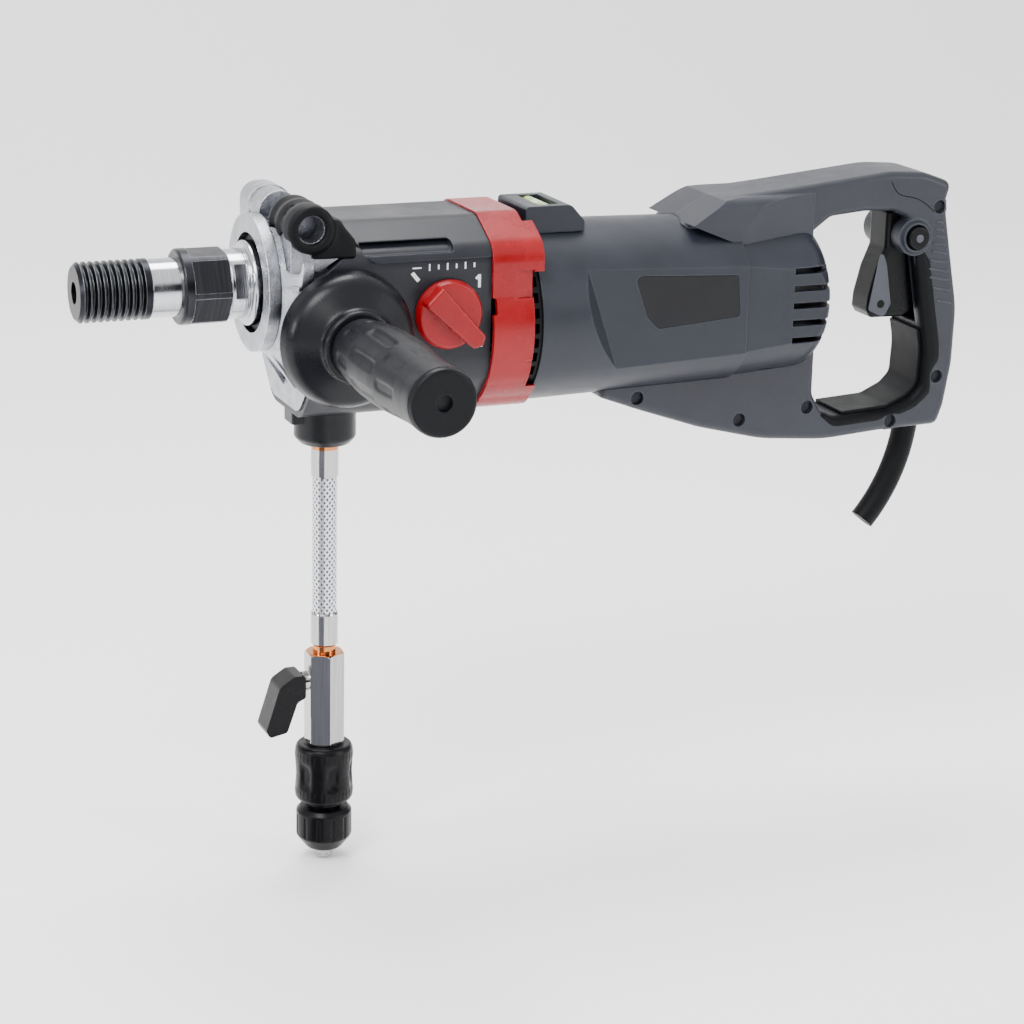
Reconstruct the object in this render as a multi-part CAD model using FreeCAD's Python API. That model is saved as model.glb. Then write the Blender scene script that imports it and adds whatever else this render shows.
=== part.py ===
"""Hand-held two-speed wet core drill: gearbox, motor, D-handle, side handle and water feed.

The frame's origin is on the spindle axis, in the plane of the nose housing's front face.
+X runs from the nose to the rear handle, +Z is up, and the side handle points along -Y.
All sizes are in millimetres.
"""

import FreeCAD
import Part
import math
import os

Vector = FreeCAD.Vector

# ---------------------------------------------------------------- driving sizes

# Fits
RUNNING = 0.05          # radial clearance of a shaft in its bearing or bush
SLIDE = 0.3             # each side of a piece that slides or turns in a guide
JOIN = 0.1              # between two fixed pieces that meet
BODY_GAP = 0.4          # between a moving piece and the housing round it

# Spindle, front to back. Its thread is 1 1/4 inch, 7 turns per inch.
THREAD_R = 15.875
THREAD_PITCH = 25.4 / 7
THREAD_DEPTH = 2.1
THREAD_LENGTH = 38.0
JOURNAL_LENGTH = 15.5
JOURNAL_R = 15.4
HEX_LENGTH = 25.5
HEX_ACROSS = 36.0
HEX_RIM_R = 20.0
HEX_RIM = 5.5
FLATS_LENGTH = 10.5
FLATS_R = 18.4
FLATS_ACROSS = 32.0
FLANGE_R = 22.5
FLANGE_OUT = 3.5        # how far the spindle's flange stands in front of the nose
FLANGE_IN = 3.0
SPINDLE_REAR_R = 8.5
WATERWAY_R = 6.0

# Gear train
MOTOR_DROP = 24.0       # the motor's axis lies this far below the spindle's
GEAR_MODULE = 1.2
LOW_TEETH = (45, 15)    # on the spindle, on the countershaft
HIGH_TEETH = (36, 24)
FIRST_MODULE = 0.6
FIRST_TEETH = (12, 60)  # on the armature, on the countershaft
PRESSURE_ANGLE = math.radians(20)
BACKLASH = 0.16         # taken off each tooth's thickness
GEAR_FACE = 10.5
FIRST_FACE = 8.0
COUNTER_R = 6.0
DOGS = 8
DOG_DEPTH = 3.5
SHIFT_TRAVEL = 10.0
SLEEVE_CORE = 5.0
SLEEVE_R = 22.0
GROOVE_DEPTH = 3.0
FORK_THICKNESS = 3.6

# Nose housing
NOSE_R = 36.5
NOSE_BORE_R = 26.5
NOSE_RING = 7.0
NOSE_RIBS = 18
RIB_THICKNESS = 2.4
EAR_R = 11.0
EAR_X = 20.0
EAR_Z = 35.0
EAR_IN = 27.0           # where an ear's web starts, from the middle
EAR_ROOT = 9.0          # where its round boss starts
EAR_OUT = 44.0
CAP_WALL = 2.2          # the rubber over the near ear
HANDLE_THREAD_R = 7.0   # M14 threaded holes for the side handle
FRONT_BEARING = (15.0, 27.5, 13.0)      # bore radius, outer radius, width
REAR_BEARING = (8.5, 17.5, 10.0)
COUNTER_BEARING = (4.0, 9.5, 7.0)
ARMATURE_BEARING = (6.0, 16.0, 10.0)
TAIL_BEARING = (4.0, 11.0, 7.0)

# Gear case, band, motor housing and rear cover
CASE_FRONT = 21.0
CASE_LENGTH = 98.0
CASE_HALF = 46.0
CASE_TOP = 33.0
CASE_BOTTOM = 70.0
CASE_WALL = 3.5
HOOD_PROUD = 1.2        # the raised panel over the gears
HOOD_FRONT = 23.0       # from the gear case's front face
HOOD_LOW = 16.0
GROOVE_HEIGHT = 6.0
BAND_WIDTH = 23.0
BAND_EAR = 6.0
BAND_PROUD = 2.2
BAND_WALL = 3.0
MOTOR_R = 49.5
MOTOR_HALF = 40.0       # the flat side panels
MOTOR_LENGTH = 126.0
MOTOR_WALL = 3.0
SLASH_LEAN = 0.33       # how far the step on the side leans back per unit of height
COVER_LENGTH = 56.0
COVER_STEP = 1.2
VENT_COUNT = 5
VENT_PITCH = 9.8
VENT_HALF = 1.7

# Motor
ARMATURE_R = 26.0
STACK_LENGTH = 64.0
COMMUTATOR_R = 16.0

# Speed selector
KNOB_R = 18.5
KNOB_X_BACK = 24.5      # from the gear case's rear face to the knob's axis
KNOB_DROP = 13.0
KNOB_BASE = 5.0
KNOB_BAR = 11.0
KNOB_BAR_WIDTH = 17.0
SELECTOR_SHAFT_R = 7.0
ECCENTRIC_PIN_R = 3.0

# Rear handle
HANDLE_HALF = 20.0
HANDLE_WALL = 3.0
HANDLE_ROUND = 4.0
SADDLE_HALF = 30.0
HANDLE_SCREW_R = 3.9
TRIGGER_HALF = 10.5
LINER_THICK = 12.0

# Side handle
SIDE_X = 37.5
SIDE_DROP = 22.0
GUARD_R = 36.5
GRIP_END = 144.0        # from the gear case's side to the tip
GRIP_NECK_R = 16.0
GRIP_BELLY_R = 19.3
GRIP_TIP_R = 17.6

# Water feed
WATER_X = 42.5
WATER_BOSS_R = 16.8
WATER_BOSS_END = 90.0
HOSE_R = 6.8
FERRULE_R = 7.5
FERRULE_LENGTH = 19.0
HOSE_LENGTH = 115.0     # from boss to valve, both ferrules included
VALVE_LENGTH = 53.0
VALVE_THREAD = 4.0
VALVE_ACROSS = 19.5
COUPLER_R = 16.3
COUPLER_LENGTH = 38.0
COUPLER_NUT_LENGTH = 25.0

# ---------------------------------------------------------------- worked-out places

MOTOR_Z = -MOTOR_DROP
SPINDLE_R = FRONT_BEARING[0] - RUNNING
HUB_R = CASE_TOP - CASE_WALL - 2 * JOIN
CASE_REAR = CASE_FRONT + CASE_LENGTH
BAND_REAR = CASE_REAR + BAND_WIDTH
HOUSING_FRONT = BAND_REAR + BAND_EAR
HOUSING_REAR = CASE_REAR + 29.0 + MOTOR_LENGTH
COVER_REAR = HOUSING_REAR + COVER_LENGTH

GEAR_CENTRES = GEAR_MODULE * sum(LOW_TEETH) / 2
FIRST_CENTRES = FIRST_MODULE * sum(FIRST_TEETH) / 2


def counter_place():
    """Where the countershaft lies: at both gear centre distances from the spindle and the armature."""
    z = (FIRST_CENTRES**2 - GEAR_CENTRES**2 - MOTOR_Z**2) / (-2 * MOTOR_Z)
    return math.sqrt(GEAR_CENTRES**2 - z**2), z


COUNTER_Y, COUNTER_Z = counter_place()

# Stations along the spindle, counted back from the gear case's rear
PLATE_REAR = CASE_REAR - 7.0
PLATE_FRONT = PLATE_REAR - REAR_BEARING[2]
HIGH_BACK = PLATE_FRONT - 1.0
HIGH_FRONT = HIGH_BACK - GEAR_FACE
SLEEVE_LENGTH = SLEEVE_CORE + 2 * DOG_DEPTH
SLEEVE_BACK = HIGH_FRONT - 0.5
SLEEVE_FRONT = SLEEVE_BACK - SLEEVE_LENGTH
LOW_BACK = SLEEVE_FRONT - SHIFT_TRAVEL - 0.5
LOW_FRONT = LOW_BACK - GEAR_FACE
HUB_REAR = LOW_FRONT - 1.5
FIRST_FRONT = PLATE_REAR + 1.5
FIRST_BACK = FIRST_FRONT + FIRST_FACE
BEARING_FRONT = NOSE_RING + 3.0
BEARING_BACK = BEARING_FRONT + FRONT_BEARING[2]

KNOB_X = CASE_REAR - KNOB_X_BACK
KNOB_Z = -KNOB_DROP
PIN_THROW = SHIFT_TRAVEL / math.sqrt(2)

SIDE_Z = -SIDE_DROP
GRIP_X = COVER_REAR + 66.0              # the rear grip's inner edge at its middle
WATER_END_Z = -WATER_BOSS_END
HOSE_BOTTOM_Z = WATER_END_Z - HOSE_LENGTH
VALVE_BOTTOM_Z = HOSE_BOTTOM_Z - VALVE_THREAD - VALVE_LENGTH

made = {}


# ---------------------------------------------------------------- shape helpers

def box(x0, x1, y0, y1, z0, z1):
    return Part.makeBox(x1 - x0, y1 - y0, z1 - z0, Vector(x0, y0, z0))


def rod(radius, start, end):
    """A cylinder from one point to another."""
    start, end = Vector(*start), Vector(*end)
    return Part.makeCylinder(radius, (end - start).Length, start, end - start)


def rod_x(radius, x0, x1, y=0.0, z=0.0):
    return rod(radius, (x0, y, z), (x1, y, z))


def rod_y(radius, y0, y1, x, z):
    return rod(radius, (x, y0, z), (x, y1, z))


def rod_z(radius, z0, z1, x, y=0.0):
    return rod(radius, (x, y, z0), (x, y, z1))


def tube_x(outer, inner, x0, x1, y=0.0, z=0.0):
    return rod_x(outer, x0, x1, y, z).cut(rod_x(inner, x0 - 1, x1 + 1, y, z))


def wire_of(points, place):
    """A closed wire through (a, b) or (a, b, radius) corners, each corner rounded by a tangent arc."""
    tangents = []
    count = len(points)
    for i, point in enumerate(points):
        here = Vector(point[0], point[1], 0)
        radius = point[2] if len(point) > 2 else 0.0
        before = Vector(*points[i - 1][:2], 0) - here
        after = Vector(*points[(i + 1) % count][:2], 0) - here
        room = 0.49 * min(before.Length, after.Length)
        before.normalize()
        after.normalize()
        half = before.getAngle(after) / 2
        if radius <= 0 or half > math.pi / 2 - 0.002:
            tangents.append((here, here, here))
            continue
        reach = min(radius / math.tan(half), room)
        radius = reach * math.tan(half)
        middle = before + after
        middle.normalize()
        top = here + middle * (radius / math.sin(half) - radius)
        tangents.append((here + before * reach, top, here + after * reach))
    edges = []
    for i, (start, top, end) in enumerate(tangents):
        if (end - start).Length > 1e-6:
            edges.append(Part.Arc(place(start), place(top), place(end)).toShape())
        following = tangents[(i + 1) % count][0]
        if (following - end).Length > 1e-6:
            edges.append(Part.LineSegment(place(end), place(following)).toShape())
    return Part.Wire(edges)


def prism_y(points, y0, y1):
    """An outline in the XZ plane, extruded along Y."""
    face = Part.Face(wire_of(points, lambda p: Vector(p.x, y0, p.y)))
    return face.extrude(Vector(0, y1 - y0, 0))


def prism_x(points, x0, x1):
    """An outline in the YZ plane, extruded along X."""
    face = Part.Face(wire_of(points, lambda p: Vector(x0, p.x, p.y)))
    return face.extrude(Vector(x1 - x0, 0, 0))


def prism_z(points, z0, z1):
    """An outline in the XY plane, extruded along Z."""
    face = Part.Face(wire_of(points, lambda p: Vector(p.x, p.y, z0)))
    return face.extrude(Vector(0, 0, z1 - z0))


def turned(points, base, axis, radial):
    """A solid of revolution from (distance along axis, radius) points, with optional corner radii."""
    base, axis, radial = Vector(*base), Vector(*axis), Vector(*radial)
    face = Part.Face(wire_of(points, lambda p: base + axis * p.x + radial * p.y))
    return face.revolve(base, axis, 360)


def turned_x(points, y=0.0, z=0.0):
    return turned(points, (0, y, z), (1, 0, 0), (0, 0, 1))


def around_x(shape, count, y=0.0, z=0.0, first=0.0):
    """Copies of a shape, evenly spaced about an axis along X."""
    copies = []
    for k in range(count):
        copy = shape.copy()
        copy.rotate(Vector(0, y, z), Vector(1, 0, 0), first + 360.0 * k / count)
        copies.append(copy)
    return copies


def fused(first, *others):
    return first.multiFuse(list(others)).removeSplitter() if others else first


def mirrored(shape):
    return shape.mirror(Vector(0, 0, 0), Vector(0, 1, 0))


def rounded(shape, radius, wanted):
    """The shape with the edges that wanted picks filleted."""
    edges = [e for e in shape.Edges if wanted(e)]
    return shape.makeFillet(radius, edges)


def keep(name, *shapes):
    """Files one node: its separate solids in one compound."""
    solids = [s for shape in shapes for s in shape.Solids]
    made[name] = solids[0] if len(solids) == 1 else Part.makeCompound(solids)


# ---------------------------------------------------------------- gears and bearings

def involute(angle):
    return math.tan(angle) - angle


def gear(teeth, module, x0, x1, y, z, tooth_at, addendum=1.0, dedendum=1.25):
    """A spur gear along X with a tooth centred at the angle tooth_at, in radians from +Y towards +Z."""
    pitch_r = module * teeth / 2
    base_r = pitch_r * math.cos(PRESSURE_ANGLE)
    tip_r = pitch_r + addendum * module
    root_r = pitch_r - dedendum * module
    half_pitch = (math.pi / 2 - BACKLASH / module) / teeth + involute(PRESSURE_ANGLE)
    start_r = max(base_r, root_r)
    steps = 4
    flank = []
    for i in range(steps + 1):
        r = start_r + (tip_r - start_r) * i / steps
        flank.append((r, half_pitch - involute(math.acos(min(1.0, base_r / r)))))
    if root_r < base_r:
        flank.insert(0, (root_r, half_pitch))
    points = []
    for k in range(teeth):
        centre = tooth_at + 2 * math.pi * k / teeth
        for r, half in flank:
            points.append((y + r * math.cos(centre - half), z + r * math.sin(centre - half)))
        for r, half in reversed(flank):
            points.append((y + r * math.cos(centre + half), z + r * math.sin(centre + half)))
    corners = [Vector(x0, a, b) for a, b in points]
    face = Part.Face(Part.makePolygon(corners + [corners[0]]))
    return face.extrude(Vector(x1 - x0, 0, 0))


def coil(pitch, height, coil_r, wire_r):
    """A coil spring along Z, its round wire drawn with ten flats."""
    corners = []
    for k in range(10):
        a = math.radians(36 * k)
        corners.append(Vector(coil_r + wire_r * math.cos(a), 0, wire_r * math.sin(a)))
    section = Part.makePolygon(corners + [corners[0]])
    return Part.Wire(Part.makeHelix(pitch, height, coil_r)).makePipeShell([section], True, True)


def bearing(sizes, x0, y, z):
    """A sealed ball bearing, as its two races, seals and balls closed up in one piece."""
    bore_r, outer_r, width = sizes
    seal = 0.3
    inner = bore_r + (outer_r - bore_r) * 0.28
    outer = outer_r - (outer_r - bore_r) * 0.22
    return turned_x([
        (x0, bore_r), (x0, inner), (x0 + seal, inner), (x0 + seal, outer), (x0, outer),
        (x0, outer_r, 0.6), (x0 + width, outer_r, 0.6), (x0 + width, outer),
        (x0 + width - seal, outer), (x0 + width - seal, inner), (x0 + width, inner),
        (x0 + width, bore_r),
    ], y, z)


def dog_ring(x0, x1, inner_r, outer_r, first):
    """Dogs between two radii, each a little under half its pitch wide, about the spindle."""
    half = math.radians(360.0 / DOGS / 4 - 3.0)
    reach = outer_r + 6
    wedge = prism_x([
        (0, 0),
        (reach * math.cos(half), -reach * math.sin(half)),
        (reach * math.cos(half), reach * math.sin(half)),
    ], x0, x1)
    ring = tube_x(outer_r, inner_r, x0, x1)
    return [ring.common(w) for w in around_x(wedge, DOGS, first=first)]


# ---------------------------------------------------------------- spindle and gear train

HEX_FRONT = -(FLANGE_OUT + FLATS_LENGTH + HEX_LENGTH)
THREAD_BACK = HEX_FRONT - JOURNAL_LENGTH
THREAD_FRONT = THREAD_BACK - THREAD_LENGTH
WATER_SEAL_WIDTH = 6.0
CHAMBER_HALF = 6.5


def thread_profile():
    """Half outline of the thread: flat crests at the full radius with V grooves between."""
    chamfer = 2.0
    points = [(THREAD_FRONT, THREAD_R - chamfer), (THREAD_FRONT + chamfer, THREAD_R)]
    x = THREAD_FRONT + chamfer + 0.4
    flank = 0.4 * THREAD_PITCH
    while x + THREAD_PITCH < THREAD_BACK:
        points += [
            (x, THREAD_R),
            (x + flank - 0.15, THREAD_R - THREAD_DEPTH),
            (x + flank + 0.15, THREAD_R - THREAD_DEPTH),
            (x + 2 * flank, THREAD_R),
        ]
        x += THREAD_PITCH
    return points


def spindle():
    flats_front = -(FLANGE_OUT + FLATS_LENGTH)
    profile = [(THREAD_FRONT, WATERWAY_R)] + thread_profile() + [
        (THREAD_BACK, THREAD_R), (THREAD_BACK, JOURNAL_R),
        (flats_front, JOURNAL_R), (flats_front, FLATS_R, 0.6),
        (-FLANGE_OUT, FLATS_R), (-FLANGE_OUT, FLANGE_R, 2.0),
        (FLANGE_IN, FLANGE_R, 0.8), (FLANGE_IN, SPINDLE_R),
        (LOW_FRONT - 0.5, SPINDLE_R), (LOW_FRONT - 0.5, SPINDLE_R - 1.0),
        (PLATE_FRONT, SPINDLE_R - 1.0), (PLATE_FRONT, SPINDLE_REAR_R - RUNNING),
        (PLATE_REAR, SPINDLE_REAR_R - RUNNING), (PLATE_REAR, 0.0),
        (WATER_X + CHAMBER_HALF, 0.0), (WATER_X + CHAMBER_HALF, WATERWAY_R),
    ]
    body = turned_x(profile)
    for side in (-1, 1):
        slab = box(flats_front + 2.0, -FLANGE_OUT - 1.5, -40, 40, 0, 40)
        slab.translate(Vector(0, 0, FLATS_ACROSS / 2))
        if side < 0:
            slab.rotate(Vector(0, 0, 0), Vector(1, 0, 0), 180)
        slab.rotate(Vector(0, 0, 0), Vector(1, 0, 0), 75)
        body = body.cut(slab)
    port = rod_z(2.5, -SPINDLE_R - 1, SPINDLE_R + 1, WATER_X)
    body = body.cut(port)
    keep("spindle", body)


def spindle_hex():
    x0 = HEX_FRONT
    x1 = x0 + HEX_LENGTH
    corner = HEX_ACROSS / math.sqrt(3)
    hexagon = [(corner * math.cos(math.radians(60 * k + 5)), corner * math.sin(math.radians(60 * k + 5)))
               for k in range(6)]
    blank = turned_x([(x0, 0), (x0, HEX_RIM_R, 1.6), (x1, HEX_RIM_R, 1.0), (x1, 0)])
    flats = prism_x(hexagon, x0 + HEX_RIM, x1 + 1)
    rim = rod_x(HEX_RIM_R + 1, x0 - 1, x0 + HEX_RIM)
    body = blank.common(fused(flats, rim))
    keep("spindle_hex_collar", body.cut(rod_x(JOURNAL_R + JOIN / 2, x0 - 1, x1 + 1)))


def spindle_gears():
    bore = SPINDLE_R - 1.0 + RUNNING
    toward_counter = math.atan2(COUNTER_Z, COUNTER_Y)
    hub_r = SLEEVE_R - 5.0

    low = gear(LOW_TEETH[0], GEAR_MODULE, LOW_FRONT, LOW_BACK, 0, 0, toward_counter)
    low = fused(low, *dog_ring(LOW_BACK - 0.5, LOW_BACK + DOG_DEPTH, hub_r - 2.5, hub_r + 3.5, 0))
    keep("low_gear", low.cut(rod_x(bore, LOW_FRONT - 1, LOW_BACK + 9)))

    high = gear(HIGH_TEETH[0], GEAR_MODULE, HIGH_FRONT, HIGH_BACK, 0, 0, toward_counter)
    high = fused(high, *dog_ring(HIGH_FRONT - DOG_DEPTH, HIGH_FRONT + 0.5, hub_r - 2.5, hub_r + 3.5, 0))
    keep("high_gear", high.cut(rod_x(bore, HIGH_FRONT - 9, HIGH_BACK + 1)))


def shift_sleeve():
    hub_r = SLEEVE_R - 5.0
    core_front = SLEEVE_FRONT + DOG_DEPTH
    core_back = SLEEVE_BACK - DOG_DEPTH
    inner = hub_r - 2.5
    blank = rod_x(SLEEVE_R, core_front, core_back)
    teeth = dog_ring(SLEEVE_FRONT, SLEEVE_BACK, inner, SLEEVE_R - 2.0, 180.0 / DOGS)
    groove_half = FORK_THICKNESS / 2 + SLIDE
    middle = (core_front + core_back) / 2
    groove = tube_x(SLEEVE_R + 1, SLEEVE_R - GROOVE_DEPTH, middle - groove_half, middle + groove_half)
    sleeve = fused(blank, *teeth).cut(groove)
    keep("shift_sleeve", sleeve.cut(rod_x(SPINDLE_R - 1.0 + RUNNING, SLEEVE_FRONT - 1, SLEEVE_BACK + 1)))


def countershaft():
    away = math.atan2(-COUNTER_Z, -COUNTER_Y)
    to_motor = math.atan2(MOTOR_Z - COUNTER_Z, -COUNTER_Y)
    front = HUB_REAR - COUNTER_BEARING[2]
    shaft = fused(
        rod_x(COUNTER_BEARING[0] - RUNNING, front, FIRST_BACK, COUNTER_Y, COUNTER_Z),
        rod_x(COUNTER_R, HUB_REAR + 0.5, PLATE_FRONT - 0.5, COUNTER_Y, COUNTER_Z),
    )
    gears = []
    for teeth, x0, x1 in (
        (LOW_TEETH[1], LOW_FRONT - 0.5, LOW_BACK + 0.5),
        (HIGH_TEETH[1], HIGH_FRONT - 0.5, HIGH_BACK + 0.5),
    ):
        half_tooth = math.pi / teeth
        gears.append(gear(teeth, GEAR_MODULE, x0, x1, COUNTER_Y, COUNTER_Z, away + half_tooth))
    keep("countershaft", fused(shaft, *gears))

    wheel = gear(FIRST_TEETH[1], FIRST_MODULE, FIRST_FRONT, FIRST_BACK, COUNTER_Y, COUNTER_Z,
                 to_motor, addendum=0.7)
    keep("reduction_gear", wheel.cut(
        rod_x(COUNTER_BEARING[0] - RUNNING, FIRST_FRONT - 1, FIRST_BACK + 1, COUNTER_Y, COUNTER_Z)))


def bearings():
    keep("spindle_bearings",
         bearing(FRONT_BEARING, BEARING_FRONT, 0, 0), bearing(REAR_BEARING, PLATE_FRONT, 0, 0))
    keep("countershaft_bearings",
         bearing(COUNTER_BEARING, HUB_REAR - COUNTER_BEARING[2], COUNTER_Y, COUNTER_Z),
         bearing(COUNTER_BEARING, PLATE_FRONT, COUNTER_Y, COUNTER_Z))
    keep("armature_bearings",
         bearing(ARMATURE_BEARING, FLANGE_X, 0, MOTOR_Z), bearing(TAIL_BEARING, TAIL_X, 0, MOTOR_Z))


def seals():
    """The dirt seal behind the spindle's flange, and the two lip seals of the water chamber."""
    lip = SPINDLE_R + RUNNING
    keep("spindle_dirt_seal", turned_x([
        (FLANGE_IN + 0.6, lip), (FLANGE_IN + 0.6, NOSE_BORE_R - JOIN, 1.0),
        (BEARING_FRONT - 0.2, NOSE_BORE_R - JOIN), (BEARING_FRONT - 0.2, lip),
    ]))
    rings = []
    for x0 in (WATER_X - CHAMBER_HALF - WATER_SEAL_WIDTH, WATER_X + CHAMBER_HALF):
        rings.append(tube_x(SEAL_SEAT_R - JOIN, lip, x0, x0 + WATER_SEAL_WIDTH))
    keep("water_seals", *rings)


# ---------------------------------------------------------------- nose, case and band

FLANGE_X = FIRST_BACK + 2.0
TAIL_X = HOUSING_REAR + 2.0
SEAL_SEAT_R = 22.0
FORK_ARM_Y = -CASE_HALF + 12.5      # the outer face of the fork's arm
RAIL_R = 4.0
RAIL_Y = -28.0
RAIL_Z = -44.0


def case_section(grow):
    """The gear case's outline in YZ, grown outward by that much."""
    top = CASE_TOP + grow
    side = CASE_HALF + grow
    bottom = -CASE_BOTTOM - grow
    shoulder = 0.42 * grow
    half = [
        (0.46 * CASE_HALF + shoulder, top, 12 + grow),
        (side, 0.6 * CASE_TOP + shoulder, 12 + grow),
        (side, -0.66 * CASE_BOTTOM - shoulder, 22 + grow),
        (0.52 * CASE_HALF + shoulder, bottom, 16 + grow),
    ]
    return half + [(-y, z, r) for y, z, r in reversed(half)]


def ear(side):
    """One ear of the nose housing, with a threaded hole for the side handle."""
    outline = [
        (EAR_X - EAR_R, EAR_Z - 22), (EAR_X - EAR_R, EAR_Z + EAR_R, EAR_R),
        (EAR_X + 0.75 * EAR_R, EAR_Z + EAR_R, EAR_R), (EAR_X + 1.9 * EAR_R, EAR_Z - 12, 5),
        (EAR_X + 0.4 * EAR_R, EAR_Z - 22),
    ]
    y0, y1 = sorted((side * EAR_IN, side * EAR_OUT))
    r0, r1 = sorted((side * EAR_ROOT, side * EAR_OUT))
    return fused(prism_y(outline, y0, y1), rod_y(EAR_R, r0, r1, EAR_X, EAR_Z))


def nose_housing():
    back = CASE_FRONT
    ring = turned_x([
        (0, 0), (0, NOSE_R), (NOSE_RING, NOSE_R, 1.0), (NOSE_RING, 0),
    ])
    section = case_section(-0.8)
    core = turned_x([(4, 0), (4, NOSE_R - 4), (back, CASE_HALF + 8), (back, 0)])
    skin = turned_x([
        (5, 0), (5, NOSE_R - 1), (NOSE_RING, NOSE_R - 1), (back, CASE_HALF + 13), (back, 0),
    ])
    blade = box(5, back, -RIB_THICKNESS / 2, RIB_THICKNESS / 2, NOSE_R - 8, CASE_BOTTOM + 20)
    inside = prism_x(section, 4, back)
    ribs = [r.common(skin) for r in around_x(blade, NOSE_RIBS, first=4.0)]
    shell = fused(core, *ribs).common(inside)
    plug = prism_x(case_section(-CASE_WALL - JOIN), CASE_FRONT - 1, CASE_FRONT + 8)
    hub = rod_x(HUB_R, 5, HUB_REAR)
    seat = rod_x(COUNTER_BEARING[1] + 3.5, CASE_FRONT, HUB_REAR, COUNTER_Y, COUNTER_Z)
    column = box(WATER_X - 9, WATER_X + 9, -9, 9, -CASE_BOTTOM + CASE_WALL + JOIN, -HUB_R + 4)
    side_boss = rod_y(13.0, -CASE_HALF + CASE_WALL + JOIN, -18, SIDE_X, SIDE_Z)
    body = fused(ring, shell, plug, hub, seat, column, side_boss, ear(-1), ear(1))
    cuts = [
        rod_x(NOSE_BORE_R, -1, BEARING_FRONT),
        rod_x(FRONT_BEARING[1] + JOIN / 2, BEARING_FRONT, BEARING_BACK),
        rod_x(SEAL_SEAT_R, BEARING_BACK - 1, HUB_REAR + 1),
        rod_x(COUNTER_BEARING[1] + JOIN / 2, HUB_REAR - COUNTER_BEARING[2], HUB_REAR + 1,
              COUNTER_Y, COUNTER_Z),
        rod_z(4.0, -CASE_BOTTOM, 0, WATER_X),
        rod_y(HANDLE_THREAD_R, -CASE_HALF, -SEAL_SEAT_R - 2.0, SIDE_X, SIDE_Z),
        rod_x(RAIL_R + JOIN / 2, CASE_FRONT + 3, CASE_FRONT + 9, RAIL_Y, RAIL_Z),
    ]
    for side in (-1, 1):
        y0, y1 = sorted((side * (EAR_IN + 1.5), side * (EAR_OUT + 1)))
        cuts.append(rod_y(HANDLE_THREAD_R, y0, y1, EAR_X, EAR_Z))
    keep("nose_housing", body.cut(Part.makeCompound(cuts)))


def cap_blank(grow):
    """The near ear's moulded cap as a solid: a lumpy sleeve round the boss, and a web sloping to the case."""
    r = EAR_R + CAP_WALL + grow
    y0 = EAR_OUT + 3.2 + grow
    sleeve = turned([
        (EAR_ROOT + 0.5 - grow, 0), (EAR_ROOT + 0.5 - grow, r - 1.5, 1.5), (EAR_ROOT + 5, r, 3),
        (EAR_ROOT + 11, r - 1.3, 3), (EAR_ROOT + 17, r, 3), (EAR_ROOT + 23, r - 1.3, 3),
        (EAR_ROOT + 29, r, 4), (y0, r - 0.6, 2.5), (y0, 0),
    ], (EAR_X, 0, EAR_Z), (0, -1, 0), (0, 0, 1))
    web = prism_y([
        (EAR_X - grow, EAR_Z + r - 3, 3), (EAR_X + r + 2, EAR_Z + 4 + grow, 8),
        (EAR_X + r + 11 + grow, EAR_Z - 7 + grow, 4), (EAR_X + r + 11 + grow, EAR_Z - 16 - grow, 2),
        (EAR_X - grow, EAR_Z - 16 - grow, 2),
    ], -EAR_OUT - 1.0, -EAR_IN - 3.0)
    return fused(sleeve, web)


def boss_cap():
    """The moulded cap over the near ear, round its threaded hole."""
    cap = cap_blank(0).cut(made["nose_housing"])
    cap = cap.cut(rod_y(HANDLE_THREAD_R + 0.5, -EAR_OUT - 9, -EAR_OUT, EAR_X, EAR_Z))
    cap = cap.cut(rod_y(EAR_R - 1, -EAR_OUT - JOIN, -EAR_ROOT, EAR_X, EAR_Z))
    cap = cap.cut(prism_x(case_section(JOIN), CASE_FRONT - JOIN, CASE_FRONT + HOOD_FRONT - 2))
    keep("ear_cap", max(cap.Solids, key=lambda s: s.Volume))


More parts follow.
